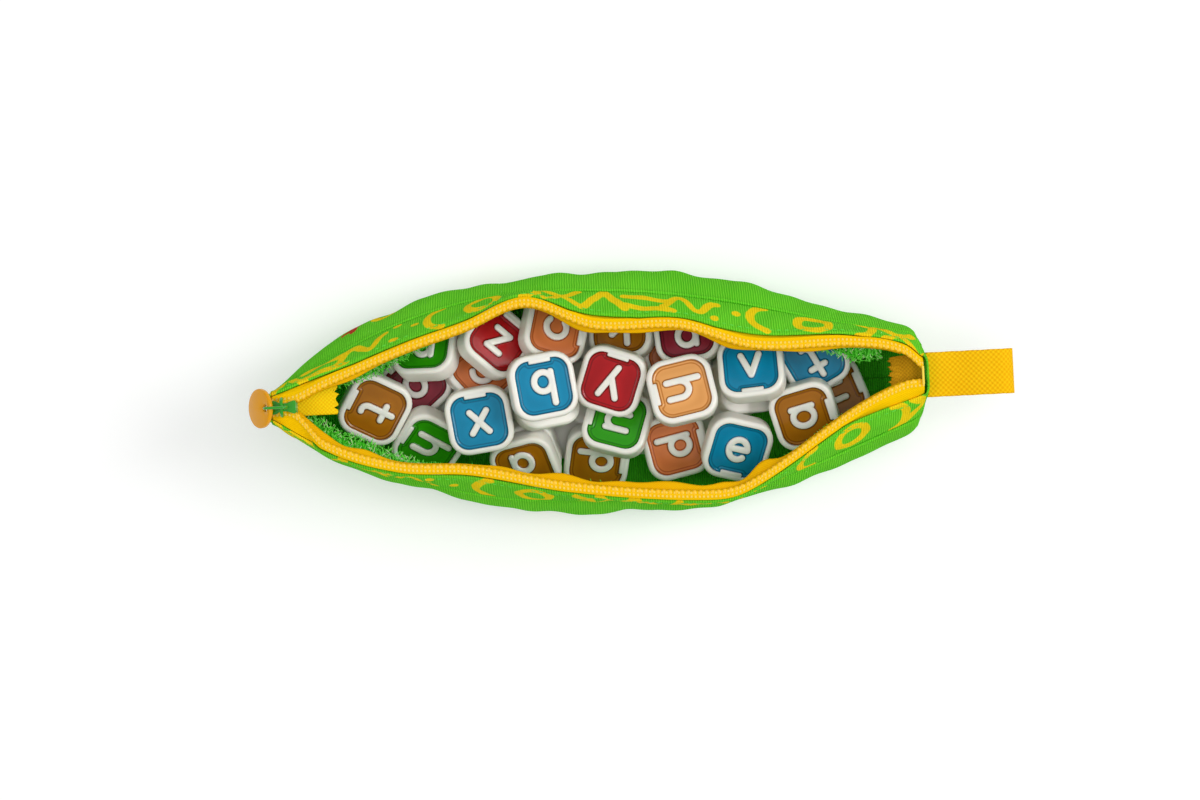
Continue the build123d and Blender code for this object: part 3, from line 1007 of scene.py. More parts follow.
# ------------------------------------------------------------------ cloth
@dataclass(frozen=True)
class Pouch:
    """The pouch's cloth: side panels, printed top bands, the ends and the seam allowances."""

    lines: ClothLines
    panel_cloth: float = 0.75
    band_cloth: float = 0.5
    hem_cloth: float = 0.5
    fold_wave: float = 1.25
    rest_height: float = 0.02
    base_steps: int = 8
    arc_steps: int = 30
    end_steps: int = 22
    panel_turn: Path = ((0.1, 0.6), (-0.6, 0.95), (-1.4, 0.3), (-1.5, -4))
    band_foot: Path = ((3.0, -1.3), (0.9, -1.3), (0.6, -1.0), (1.2, -0.55))
    band_fold: Path = ((-0.25, -0.12), (0, -0.5), (-0.15, -0.95), (-0.8, -1.15), (-3.4, -1.25))

    def outline(self, side: Side, s: float) -> list[Vector]:
        """The panel's outer line at a station, from the base's middle up and over its top fold.

        Args:
            side: The wall.
            s: The station.

        Returns:
            The points, each as (0, out, up).
        """
        w = self.lines.wall(side, s)
        (base, floor), (seam, high) = w["base"], w["seam"]
        flat = [(-0.1 + (base + 0.1) * k, floor) for k in spread(0, 1, self.base_steps)[:-1]]
        turn = [(seam + out, high + up) for out, up in self.panel_turn]
        points = flat + self.lines.arc_points(side, s, self.arc_steps) + turn
        return [Vector((0, y, max(z, self.rest_height))) for y, z in points]

    def ripple(self, side: Side, s: float, share: float) -> float:
        """How far the loose cloth stands in or out of its line.

        Args:
            side: The wall.
            s: The station.
            share: The share of the way up the panel.

        Returns:
            The height in millimetres.
        """
        phase = 0.0 if side is Side.FRONT else 2.1
        slack = max(0.0, math.sin(math.pi * min(max(share, 0), 1))) ** 0.7
        waves = (
            math.sin(19 * s + 3.1 * share + phase)
            + 0.7 * math.sin(31 * s - 5.0 * share + 1.3 * phase)
            + 0.45 * math.sin(53 * s + 9.0 * share + 0.7)
            + 0.3 * math.sin(12 * s + 14 * share + phase)
        )
        return self.fold_wave * slack * (0.38 * waves - 0.25)

    def panel(self, side: Side) -> Sheet:
        """Build one side panel.

        Args:
            side: The wall.

        Returns:
            The sheet and its cut.
        """
        outline = cache(lambda s: self.outline(side, s))
        count = len(outline(0.0))
        loose = count - len(self.panel_turn) - self.base_steps - 1

        def place(s: float, row: int) -> Vector:
            """A point of the panel."""
            line = outline(s)
            way = (line[min(row + 1, count - 1)] - line[max(row - 1, 0)]).normalized()
            share = (row - self.base_steps) / loose
            lift = self.ripple(side, s, share) * (1 - abs(s) ** 8)
            y, z = line[row].y + way.z * lift, line[row].z - way.y * lift
            return self.lines.point(side, s, y, max(z, self.rest_height))

        return grid_sheet(spread(-1, 1, 200), range(count), place, Vector((0, side.value, -0.2)))

    def band_line(self, side: Side, s: float) -> list[Vector]:
        """The top band's outer line at a station, folded under at the seam and over at the zip.

        Args:
            side: The wall.
            s: The station.

        Returns:
            The points, each as (0, out, up).
        """
        w = self.lines.wall(side, s)
        low = Vector((0, w["seam"][0], w["seam"][1] + self.lines.seam_gap))
        rise = Vector((0, *w["root"])) - low
        up, tall = rise.normalized(), rise.length
        out = Vector((0, up.z, -up.y))
        swell = [(1.9 + (tall - 2.6) * k, 0.3 * math.sin(math.pi * k)) for k in spread(0, 1, 16)]
        fold = [(tall + along, off) for along, off in self.band_fold]
        return [low + up * along + out * off for along, off in [*self.band_foot, *swell, *fold]]

    def band(self, side: Side) -> Sheet:
        """Build one top band.

        Args:
            side: The wall.

        Returns:
            The sheet and its cut.
        """
        band_line = cache(lambda s: self.band_line(side, s))

        def place(s: float, row: int) -> Vector:
            """A point of the band."""
            point = band_line(s)[row]
            wave = 0.34 * math.sin(41 * s + row * 0.3) + 0.22 * math.sin(67 * s - row * 0.35)
            slack = math.sin(math.pi * min(max((row - len(self.band_foot)) / 17, 0), 1))
            return self.lines.point(side, s, point.y + wave * slack, point.z)

        rows = range(len(band_line(0.0)))
        return grid_sheet(spread(-1, 1, 280), rows, place, Vector((0, side.value, 0.3)))

    def hem(self, side: Side) -> Sheet:
        """Build the frayed allowance inside one band.

        Args:
            side: The wall.

        Returns:
            The sheet and its cut.
        """

        def place(s: float, share: float) -> Vector:
            """A point of the allowance."""
            root, top = self.lines.wall(side, s)["root"]
            root -= self.lines.flare(side, s) * share
            ragged = 0.75 + 0.12 * math.sin(71 * s) + 0.1 * math.sin(113 * s + 1)
            ragged += 0.08 * math.sin(29 * s)
            drop = 6.6 * share * (ragged if share > 0.9 else 0.85)
            wave = 0.35 * share * math.sin(37 * s)
            return self.lines.point(side, s, root - 1.75 - 0.9 * share + wave, top - 1.3 - drop)

        facing = Vector((0, -side.value, 0))
        return grid_sheet(spread(-0.9, 0.88, 160), spread(0, 1, 5), place, facing)

    def end(self, s: float) -> Sheet:
        """Build the cloth that closes one end, round at its corners.

        Args:
            s: The end's station.

        Returns:
            The sheet and its cut.
        """
        rows: dict[Side, list[tuple[float, float]]] = {}
        for side in Side:
            w = self.lines.wall(side, s)
            (y0, z0), (y1, z1) = w["seam"], w["root"]
            upper = [(y0 + (y1 - y0) * k, z0 + (z1 - z0) * k) for k in spread(0, 1, 8)[1:]]
            rows[side] = self.lines.arc_points(side, s, self.end_steps) + upper

        def place(across: float, row: int) -> Vector:
            """A point of the end's cloth."""
            (front, z_front), (back, z_back) = rows[Side.FRONT][row], rows[Side.BACK][row]
            share = (across + 1) / 2
            bulge = 0.15 + 1.15 * (1 - abs(across) ** 6)
            y = -front * (1 - share) + back * share
            z = z_front * (1 - share) + z_back * share
            return Vector((s * (self.lines.half_length + bulge), y, z))

        count = len(rows[Side.FRONT])
        return grid_sheet(spread(-1, 1, 24), range(count), place, Vector((s, 0, 0)))

    def build(self, shop: Workshop) -> None:
        """Build and dress the cloth.

        Args:
            shop: Where pieces are made.
        """
        prints, follow = Prints(), self.lines.follow
        for side in Side:
            name = f"{side.label}_panel"
            bm, cut = self.panel(side)
            panel = shop.piece(
                bm, f"cloth_{name}", Finish.PANEL, [name], "pouch", 60, "green_cloth"
            )
            prints.on_panel(panel, side)
            thicken(panel, self.panel_cloth, cut, Finish.INSIDE)
            name = f"{side.label}_band"
            bm, cut = self.band(side)
            band = shop.piece(
                bm, f"cloth_{name}", Finish.PRINTED, [name], None, 60, "printed_cloth"
            )
            prints.on_band(band, side)
            bend_with_lip(band, side, follow)
            thicken(band, self.band_cloth, cut)
            name, nodes = f"cloth_{side.label}_hem", [f"{side.label}_seam_hem"]
            bm, cut = self.hem(side)
            hem = shop.piece(bm, name, Finish.FRAYED, nodes, None, 60, "frayed_hem")
            bend_with_lip(hem, side, follow)
            thicken(hem, self.hem_cloth, cut)
        for s, node in ((-1.0, "tip_panel"), (1.0, "end_panel")):
            bm, cut = self.end(s)
            end = shop.piece(bm, f"cloth_{node}", Finish.CANVAS, [node], "pouch", 60, "green_cloth")
            thicken(end, self.panel_cloth, cut, Finish.INSIDE)


@dataclass(frozen=True)
class Prints:
    """The cloth's plain printed motifs: crescents, waves, crosses, rings and dots."""

    pitch: float = 14.0
    stroke: float = 1.45
    size: float = 1.7
    motifs: int = 20
    row_height: float = 44.0

    def motif(self, kind: int, x: float, y: float) -> list[Path]:
        """One motif.

        Args:
            kind: Which motif it is.
            x: Its middle along the cloth.
            y: Its middle across the cloth.

        Returns:
            Its strokes.
        """
        shapes: tuple[list[Path], ...] = (
            [arc(1, 0, 4.6, 4.4, 110, 250)],
            [[(-4.5, -3.4), (4.0, 3.6)], [(-3.2, 3.5), (3.4, -3.2)]],
            [[(k, 2.2 * math.sin(k * 0.85)) for k in spread(-5, 5, 20)]],
            [arc(0, 0, 3.1, 3.0, 0, 360, 20)],
            [[(-4, 3.6), (0.5, -3.4), (4.5, 3.2)]],
            [[(-3, 2.6), (-2.9, 2.6)], [(1.5, -0.5), (1.6, -0.5)], [(-2.4, -3), (-2.3, -3)]],
            [arc(-1, -0.5, 4.4, 4.4, -70, 70)],
            [[(-5, 1.2), (5, 2.6)], [(-4.4, -2.6), (4.6, -1.4)]],
        )
        size, found = self.size, shapes[kind % len(shapes)]
        return [[(x + a * size, y + b * size) for a, b in stroke] for stroke in found]

    def on_band(self, piece: bpy.types.Object, side: Side) -> None:
        """Print one top band.

        Args:
            piece: The band.
            side: Its side.
        """
        seed, first = (3, 1) if side is Side.FRONT else (8, 4)
        rng = random.Random(seed)
        strokes: list[Path] = []
        for k in range(self.motifs):
            x = 6 + k * self.pitch + rng.uniform(-1.5, 1.5)
            strokes += self.motif(k * 3 + first, x, 11.0 + rng.uniform(-1.0, 1.0))
        write_distance(piece, "yellow_ink", ink_distance(cut_places(piece), strokes, self.stroke))

    def on_panel(self, piece: bpy.types.Object, side: Side) -> None:
        """Print one side panel with a plain row of rings and crosses.

        Args:
            piece: The panel.
            side: Its side.
        """
        middle = 60.0 if side is Side.BACK else 78.0
        inks: dict[str, list[Path]] = {"yellow_ink": [], "red_ink": [], "blue_ink": []}
        row = ("red_ink", "yellow_ink", "blue_ink", "red_ink", "yellow_ink")
        for k, name in enumerate(row):
            x, y = middle + (k - 2) * 12, self.row_height + (2.5 if k % 2 else -2.0)
            cross = [[(x - 4, y), (x + 4, y)], [(x, y - 4), (x, y + 4)]]
            inks[name] += [arc(x, y, 4.4, 4.4, 0, 360, 20)] if k % 3 else cross
        places = cut_places(piece)
        for name, strokes in inks.items():
            write_distance(piece, name, ink_distance(places, strokes, 1.5))


# ------------------------------------------------------------------ zip
@dataclass(frozen=True)
class Zip:
    """The zip: tapes with a sewn bead over the coil, the tape's end, the slider and its pull."""

    lines: ClothLines
    tape_cloth: float = 0.35
    tail_cloth: float = 0.6
    tail_start: float = -104.2
    tail_length: float = 18.0
    tail_height: float = 51.6
    edge_height: float = 56.2
    edge_depth: float = 2.3
    flat_steps: int = 4
    bead: Path = (
        (0.30, 56.35), (0.12, 56.75), (0.12, 57.15), (0.35, 57.65), (0.75, 57.92), (1.15, 57.98),
        (1.62, 57.82), (2.05, 57.98), (2.5, 57.95), (2.95, 57.7), (3.3, 57.42),
    )
    under_fold: Path = ((0.2, 1.3), (0.9, 1.4), (1.8, 1.45))
    lower_plate: Path = (
        (-107.2, 3.6), (-106.6, 4.4), (-105.8, 4.6), (-99.6, 3.8), (-98.95, 3.4), (-98.8, 2.8),
    )
    upper_plate: Path = (
        (-107.2, 1.3), (-106.9, 2.0), (-106.2, 2.3), (-105.4, 2.1), (-104.6, 1.6), (-103.2, 1.3),
        (-101.8, 1.4), (-100.6, 1.9), (-99.6, 2.2), (-99.0, 2.0), (-98.85, 1.4),
    )
    wedge: Path = ((-101.6, 0.3), (-98.95, 0.75))
    plate_round: float = 0.22
    bridge: tuple[float, float, float] = (-103.5, 2.8, 58.95)
    bridge_wire: float = 0.6

    def tape(self, side: Side) -> Sheet:
        """Build one zip tape, from the bead that hides the coil to under the band's fold.

        Args:
            side: Its side.

        Returns:
            The sheet and its cut.
        """
        bead, steps = self.bead, self.flat_steps

        def place(s: float, row: int) -> Vector:
            """A point of the tape."""
            mouth = self.lines.mouth_at(side, s)
            if row < len(bead):
                return self.lines.point(side, s, mouth + bead[row][0], bead[row][1])
            high, up, out = self.lines.band_slope(side, s)
            under = [high - up * down - out * deep for down, deep in self.under_fold]
            start = Vector((0, min(mouth + 3.7, max(mouth + 3.35, under[0].y - 0.1)), 57.36))
            k = row - len(bead)
            spot = start.lerp(under[0], k / steps) if k < steps else under[k - steps]
            return self.lines.point(side, s, spot.y, spot.z)

        rows = range(len(bead) + steps + len(self.under_fold))
        return grid_sheet(spread(-0.995, 0.995, 320), rows, place, Vector((0, 0, 1)))

    def lobes(self, side: Side) -> Sheet:
        """Build the loose inner edge of one tape, which waves in under the bead.

        Args:
            side: Its side.

        Returns:
            The sheet and its cut.
        """
        bumps = {
            Side.FRONT: (
                (-0.85, 0.05, 2.2), (-0.72, 0.05, 1.6), (-0.12, 0.07, 2.3), (0.05, 0.06, 1.3),
                (0.2, 0.1, 2.4), (0.37, 0.05, 1.7), (0.49, 0.045, 3.4), (-0.3, 0.06, 0.9),
            ),
            Side.BACK: (
                (-0.75, 0.06, 1.0), (-0.05, 0.07, 1.5), (0.15, 0.09, 1.1), (0.4, 0.06, 1.4),
                (0.66, 0.08, 1.0),
            ),
        }[side]

        def place(s: float, share: float) -> Vector:
            """A point of the tape's edge."""
            mouth = self.lines.mouth_at(side, s)
            reach = min(0.25 + humps(bumps, s), max(mouth - 0.4, 0.0))
            y = mouth + self.edge_depth - (self.edge_depth + reach) * share
            z = self.edge_height - (1.0 + 0.45 * reach) * share**1.5
            return self.lines.point(side, s, y, z)

        return grid_sheet(spread(-0.93, 0.93, 240), spread(0, 1, 8), place, Vector((0, 0, 1)))

    def tail(self) -> Sheet:
        """Build the folded end of the tape that lies inside the mouth by the slider.

        Returns:
            The sheet and its cut.
        """

        def place(along: float, across: float) -> Vector:
            """A point of the tape's end."""
            ragged = 0.6 * math.sin(across * 23) + 0.4 * math.sin(across * 51)
            x = self.tail_start + self.tail_length * along + (ragged if along > 0.96 else 0)
            low, high = -0.4 - 2.7 * min(1.0, along * 4), 2.0 + 5.2 * min(1.0, along * 1.2)
            wave = 0.12 * math.sin(9 * along + 4 * across)
            z = self.tail_height + 1.9 * (1 - along) ** 2 + wave
            return Vector((x, low + (high - low) * across, z))

        return grid_sheet(spread(0, 1, 40), spread(0, 1, 14), place, Vector((0, 0, 1)))

    def plate(self, bm: bmesh.types.BMesh, half_outline: Path, low: float, high: float) -> None:
        """Add a rounded plate to the slider.

        Args:
            bm: The mesh that it is added to.
            half_outline: One side of its outline, from the back to the nose, as (along, out).
            low: The height of its underside.
            high: The height of its top.
        """
        outline = [*half_outline, *((x, -y) for x, y in reversed(half_outline))]
        part = bmesh.new()
        base = part.faces.new([part.verts.new((x, y, low)) for x, y in outline])
        moved_out(part, [base], Vector((0, 0, high - low)))
        bmesh.ops.recalc_face_normals(part, faces=part.faces[:])
        bevel(part, edges_where(part, False), self.plate_round, 3)
        merge(bm, part)

    def slider(self) -> bmesh.types.BMesh:
        """Build the slider: two plates with a wedge between them, side rails and the bridge.

        Returns:
            The slider, in metres.
        """
        bm = bmesh.new()
        self.plate(bm, self.lower_plate, 54.76, 55.75)
        self.plate(bm, self.upper_plate, 58.26, 59.24)
        self.plate(bm, self.wedge, 55.5, 58.5)
        for sign in (-1, 1):
            rail = bmesh.ops.create_cube(bm, size=1)["verts"]
            bmesh.ops.scale(bm, vec=(6.0, 0.5, 0.3), verts=rail)
            bmesh.ops.rotate(bm, matrix=Matrix.Rotation(-sign * 0.12, 3, "Z"), verts=rail)
            bmesh.ops.translate(bm, vec=(-102.8, sign * 3.8, 55.85), verts=rail)
        circle = bmesh.ops.create_circle(bm, segments=14, radius=self.bridge_wire)["verts"]
        bmesh.ops.translate(bm, vec=self.bridge, verts=circle)
        ring = [e for e in bm.edges if set(e.verts) <= set(circle)]
        x, _, z = self.bridge
        bmesh.ops.spin(
            bm, geom=ring + circle, cent=(x, 0, z), axis=(1, 0, 0), angle=math.pi, steps=20
        )
        bmesh.ops.holes_fill(bm, edges=boundary(bm), sides=0)
        bmesh.ops.recalc_face_normals(bm, faces=bm.faces[:])
        bmesh.ops.scale(bm, vec=(MM, MM, MM), verts=bm.verts[:])
        return bm

    def build(self, shop: Workshop) -> None:
        """Build and dress the zip.

        Args:
            shop: Where pieces are made.
        """
        follow, travel = self.lines.follow, self.lines.travel
        for side in Side:
            name = side.label
            bm, cut = self.tape(side)
            nodes = [f"{name}_zip_tape"]
            tape = shop.piece(bm, f"{name}_tape", Finish.TAPE, nodes, None, 60, "zip_tape")
            bend_with_lip(tape, side, follow)
            thicken(tape, self.tape_cloth, cut)
            bm, cut = self.lobes(side)
            edge = shop.piece(bm, f"{name}_tape_edge", Finish.TAPE_EDGE, (), None, 60, "zip_tape")
            bend_with_lip(edge, side, lambda _, spot: max(0.0, abs(spot.y) / MM - 0.2) / travel)
            thicken(edge, self.tape_cloth, cut)
            bm, coil = shop.softened(f"{name}_coil", 0.35, 1), f"{name}_coil"
            turns = shop.piece(bm, f"{coil}_turns", Finish.COIL, [coil], None, 50, "zip_coil")
            bend_with_lip(turns, side, follow)
        bm, cut = self.tail()
        tail = shop.piece(
            bm, "folded_tape_end", Finish.TAPE_END, ["tape_tail"], "pouch", 60, "zip_tape"
        )
        thicken(tail, self.tail_cloth, cut)
        soft, thread = shop.softened, (Finish.YELLOW_THREAD, "thread")
        enamel, amber = (Finish.ENAMEL, "green_enamel"), (Finish.AMBER, "amber_plastic")
        for bm, name, (finish, slot), node, body, sharp in (
            (soft("end_tack", 0.1), "bar_tack", thread, "end_tack", "pouch", 40),
            (self.slider(), "zip_slider_body", enamel, "slider", "zip_slider", 40),
            (soft("pull_link", 0.02, 1, 50), "wire_link", enamel, "pull_link", "link", 60),
            (soft("pull_disc", 0.35), "disc_pull", amber, "pull_disc", "disc", 40),
        ):
            shop.piece(bm, name, finish, [node], body, sharp, slot)


# ------------------------------------------------------------------ webbing
@dataclass(frozen=True)
class HangingLoop:
    """The folded webbing loop at the pouch's end, and its tail inside."""

    start: float = 108.2
    far: float = 137.3
    height: float = 50.6
    thick: float = 1.25
    width: float = 15.0
    eye: float = 3.0
    wall: float = 1.35
    neck: float = 1.42
    straight: float = 6.0
    side_gap: float = 0.1
    tail_end: float = 107.3
    tail_length: float = 10.6
    tail_height: float = 50.5

    def middle_line(self) -> list[tuple[float, float]]:
        """The loop's outer line seen from the side, from its upper root round to its lower root.

        Returns:
            The points, each as (along, up from the loop's middle height).
        """
        neck, fold = self.neck, self.eye + self.wall
        turn, level = self.far - fold, self.start + self.straight
        upper = []
        for k in spread(0, 1, 26)[:-1]:
            x = self.start + (turn - self.start) * k
            rise = min(max((x - level) / (turn - level), 0), 1)
            upper.append((x, neck + (fold - neck) * (3 * rise**2 - 2 * rise**3)))
        bend = [(turn + fold * math.sin(a), fold * math.cos(a)) for a in spread(0, math.pi, 16)]
        return upper + bend + [(x, -z) for x, z in reversed(upper)]

    def strap(self) -> Sheet:
        """Build the loop's strap.

        Returns:
            The sheet and its cut.
        """
        line = self.middle_line()

        def place(row: int, across: float) -> Vector:
            """A point of the strap's outside."""
            x, z = line[row]
            half = self.width / 2 - self.side_gap + 0.12 * math.sin(row * 0.9) * 0.3
            return Vector((x, across * half, self.height + z))

        return grid_sheet(range(len(line)), spread(-1, 1, 20), place, Vector((1, 0, 0)))

    def tail(self) -> Sheet:
        """Build the strap's ragged end inside the pouch.

        Returns:
            The sheet and its cut.
        """

        def place(along: float, across: float) -> Vector:
            """A point of the end's top."""
            back = 1 - along
            ragged = (0.5 * math.sin(across * 17) + 0.4 * math.sin(across * 41)) * back**4
            x = self.tail_end - (self.tail_length + ragged) * back
            half = self.width / 2 - self.side_gap - 0.9 * back
            wave = 0.25 * math.sin(3 * across + 2 * along) * back
            return Vector((x, across * half, self.tail_height + wave))

        return grid_sheet(spread(0, 1, 16), spread(-1, 1, 40), place, Vector((0, 0, 1)))

    def build(self, shop: Workshop) -> None:
        """Build and dress the webbing.

        Args:
            shop: Where pieces are made.
        """
        for (bm, cut), name, finish, node, body in (
            (self.strap(), "hanging_strap", Finish.STRAP, "webbing_loop", "hanging_loop"),
            (self.tail(), "strap_tail", Finish.STRAP_TAIL, "webbing_tail", "pouch"),
        ):
            piece = shop.piece(bm, name, finish, [node], body, 60, "webbing")
            thicken(piece, self.thick, cut)


# ------------------------------------------------------------------ tiles
@dataclass(frozen=True)
class Seat:
    """Where one tile lies: its middle in metres, and the ways to its letter's foot and outwards."""

    middle: Vector
    foot: Vector
    out: Vector

    def matrix(self) -> Matrix:
        """The turn and shift that bring a tile here.

        Returns:
            The matrix.
        """
        side = self.out.cross(self.foot)
        turn = Matrix((self.foot, side, self.out)).transposed().to_4x4()
        return Matrix.Translation(self.middle) @ turn


@dataclass(frozen=True)
class Letters:
    """Plain round letters as strokes, each as (right, up) with the small letters from -1 to 1."""

    scale: float = 3.55
    rise: float = 0.3
    stroke: float = 1.08

    def shapes(self) -> dict[str, list[Path]]:
        """The letters' strokes.

        Returns:
            The strokes of each letter. One that ends where it starts is a ring.
        """
        bowl = arc(0, 0, 0.88, 1, 0, 360, 28)
        low_bowl = arc(0, -0.5, 0.85, 0.9, 0, 360, 28)
        high_bowl = arc(0, 0.5, 0.85, 0.9, 0, 360, 28)
        arch = [*arc(0, 0.12, 0.8, 0.86, 172, 0), (0.8, -1.0)]
        cup = [(-0.8, 1.0), *arc(0, -0.12, 0.8, 0.86, 180, 352)]
        return {
            "o": [bowl],
            "c": [arc(0.1, 0, 0.95, 1, 48, 312, 20)],
            "e": [[(-0.75, 0.05), (0.86, 0.05)], arc(0, 0, 0.88, 1, 4, 312, 24)],
            "n": [[(-0.8, 1.0), (-0.8, -1.0)], arch],
            "h": [[(-0.8, 1.6), (-0.8, -1.4)], [(x, y - 0.4) for x, y in arch]],
            "u": [cup, [(0.8, 1.0), (0.8, -1.0)]],
            "v": [[(-0.85, 1.0), (0, -1.0)], [(0, -1.0), (0.85, 1.0)]],
            "x": [[(-0.8, 1.0), (0.8, -1.0)], [(0.8, 1.0), (-0.8, -1.0)]],
            "z": [
                [(-0.75, 1.0), (0.75, 1.0)],
                [(0.75, 1.0), (-0.75, -1.0)],
                [(-0.75, -1.0), (0.8, -1.0)],
            ],
            "t": [
                [(-0.1, 1.6), (-0.1, -0.7), *arc(0.45, -0.75, 0.55, 0.6, 190, 290, 8)],
                [(-0.75, 0.75), (0.7, 0.75)],
            ],
            "b": [low_bowl, [(-0.85, 1.6), (-0.85, -1.35)]],
            "d": [low_bowl, [(0.85, 1.6), (0.85, -1.35)]],
            "p": [high_bowl, [(-0.85, 1.35), (-0.85, -1.6)]],
            "y": [[(-0.8, 1.35), (0.02, -0.4)], [(0.85, 1.35), (-0.35, -1.5)]],
            "a": [bowl, [(0.88, 1.0), (0.88, -1.0)]],
            "k": [
                [(-0.7, 1.6), (-0.7, -1.3)],
                [(0.75, 0.7), (-0.6, -0.4)],
                [(-0.25, -0.1), (0.8, -1.3)],
            ],
        }

    def strokes(self, letter: str) -> list[Path]:
        """A letter's strokes on a tile, from its middle, as (to the foot, to the side)."""
        scale, found = self.scale, self.shapes()[letter]
        return [[(-up * scale - self.rise, right * scale) for right, up in line] for line in found]


@dataclass(frozen=True)
class Tile:
    """One moulded tile: a rounded body with a sunk coloured face, a key and a raised letter."""

    side: float = 22.0
    thick: float = 7.4
    corner: float = 6.6
    edge: float = 1.15
    face: float = 18.2
    sunk: float = 0.8
    face_thick: float = 0.9
    face_corner: float = 5.0
    face_gap: float = 0.04
    key_width: float = 7.4
    key_depth: float = 1.2
    key_hidden: float = 0.9
    bar_across: tuple[float, ...] = (-1.0, -0.97, -0.88, -0.7, -0.25, 0.25, 0.7, 0.88, 0.97, 1.0)
    bar_ends: tuple[float, ...] = (90.0, 75.0, 60.0, 42.0, 20.0)

    def body(self, hollow: bool) -> bmesh.types.BMesh:
        """Build a tile's white body about its own middle.

        Args:
            hollow: Whether it has a face's pocket and key.

        Returns:
            The body, in millimetres.
        """
        bm = bmesh.new()
        bmesh.ops.create_cube(bm, size=1)
        bmesh.ops.scale(bm, vec=(self.side, self.side, self.thick), verts=bm.verts[:])
        bevel(bm, edges_where(bm, True), self.corner, 7)
        bevel(bm, edges_where(bm, False), self.edge, 4)
        if hollow:
            top = max((f for f in bm.faces if f.normal.z > 0.9), key=lambda f: f.calc_area())
            lip = self.side / 2 - self.edge - self.face / 2
            deep = self.sunk + self.face_thick - 0.1
            for inset, depth in ((lip - 0.2, 0.0), (0.2, -0.12), (0.06, -deep)):
                bmesh.ops.inset_region(
                    bm, faces=[top], thickness=inset, depth=depth, use_even_offset=True
                )
            self.add_key(bm)
        return bm

    def add_key(self, bm: bmesh.types.BMesh) -> None:
        """Add the key that stands in from the rim at the letter's foot.

        Args:
            bm: The body, which it is added to.
        """
        made = bmesh.ops.create_cube(bm, size=1)["verts"]
        high, long = self.sunk + self.face_thick, self.key_depth + self.key_hidden
        bmesh.ops.scale(bm, vec=(long, self.key_width, high), verts=made)
        middle = self.face / 2 - self.key_depth + long / 2
        bmesh.ops.translate(bm, vec=(middle, 0, self.thick / 2 - high / 2 - 0.03), verts=made)
        bevel(bm, [e for e in bm.edges if set(e.verts) <= set(made)], 0.45, 3)

    def glazed(self, strokes: list[Path]) -> bmesh.types.BMesh:
        """Build a tile's coloured face, whose points hold the distance to its edge and its letter.

        Args:
            strokes: The letter's strokes.

        Returns:
            The face, in millimetres.
        """
        bm = bmesh.new()
        bmesh.ops.create_grid(bm, x_segments=30, y_segments=30, size=1)
        half = self.face / 2 - self.face_gap
        flat = half - self.face_corner
        for vertex in bm.verts:
            x, y = vertex.co.x * half, vertex.co.y * half
            dx, dy = abs(x) - flat, abs(y) - flat
            if dx > 0 and dy > 0:
                squeeze = max(dx, dy) / math.hypot(dx, dy)
                x, y = math.copysign(flat + dx * squeeze, x), math.copysign(flat + dy * squeeze, y)
            vertex.co = (x, y, self.thick / 2 - self.sunk)
        places = np.array([(v.co.x, v.co.y) for v in bm.verts])
        along, aside = places[:, 0], np.abs(places[:, 1])
        in_corner = np.minimum(np.abs(along), aside) > flat
        corner_in = np.hypot(np.maximum(np.abs(along) - flat, 0), np.maximum(aside - flat, 0))
        straight = half - np.maximum(np.abs(along), aside)
        outline = np.where(in_corner, self.face_corner - corner_in, straight)
        short, beside = half - self.key_depth - along, aside - self.key_width / 2
        rim = np.minimum(outline, np.hypot(np.maximum(short, 0), np.maximum(beside, 0)))
        near = np.minimum(rim, ink_distance(places, strokes, Letters().stroke))
        for name, values in (("edge", near), ("rim", rim)):
            layer = bm.verts.layers.float.new(name)
            for vertex, value in zip(bm.verts, values):
                vertex[layer] = max(float(value), 0.0)
        moved_out(bm, bm.faces[:], Vector((0, 0, -self.face_thick)))
        bmesh.ops.recalc_face_normals(bm, faces=bm.faces[:])
        return bm

    def raised(self, strokes: list[Path], half: float) -> bmesh.types.BMesh:
        """Build a tile's raised letter from rounded bars.

        Args:
            strokes: The letter's strokes.
            half: Half a stroke's width.

        Returns:
            The letter, in millimetres.
        """
        bm = bmesh.new()
        for k, stroke in enumerate(strokes):
            top = self.thick / 2 - 0.02 - 0.025 * k
            self.add_bar(bm, [Vector((x, y, 0)) for x, y in stroke], half, top)
        return bm

    def add_bar(self, bm: bmesh.types.BMesh, line: list[Vector], half: float, top: float) -> None:
        """Add one bar with round shoulders and ends, or a ring where its line closes.

        Args:
            bm: The mesh that it is added to.
            line: The bar's middle line.
            half: Half its width.
            top: The height of its top.
        """
        low = self.thick / 2 - self.sunk - 0.3
        ring = (line[0] - line[-1]).length < 1e-6
        last = len(line) - 1
        caps = () if ring else self.bar_ends
        stops = [(0, -a) for a in caps] + [(i, 0.0) for i in range(last + 1)]
        stops += [(last, a) for a in reversed(caps)]
        part = bmesh.new()
        nx, ny = len(stops) - 1, len(self.bar_across) - 1
        bmesh.ops.create_grid(part, x_segments=nx, y_segments=ny, size=0.5)
        for vertex in part.verts:
            i, j = round((vertex.co.x + 0.5) * nx), round((vertex.co.y + 0.5) * ny)
            k, angle = stops[i]
            before = line[k - 1] if k else line[-2 if ring else 0]
            after = line[k + 1] if k < last else line[1 if ring else -1]
            way = (after - before).normalized()
            out = Vector((-way.y, way.x, 0))
            turn, wide = math.radians(angle), self.bar_across[j]
            off = way * (half * math.sin(turn)) + out * (half * wide * math.cos(turn))
            edge = min(off.length / half, 1.0)
            shoulder = max(0.0, (edge - 0.66) / 0.34)
            drop = 0.55 * (1 - math.sqrt(max(0.0, 1 - shoulder**2)))
            height = low if edge > 0.995 else top - drop
            vertex.co = line[k] + off + Vector((0, 0, height))
        bmesh.ops.remove_doubles(part, verts=part.verts[:], dist=1e-4)
        if ring:
            bmesh.ops.bridge_loops(part, edges=boundary(part))
        else:
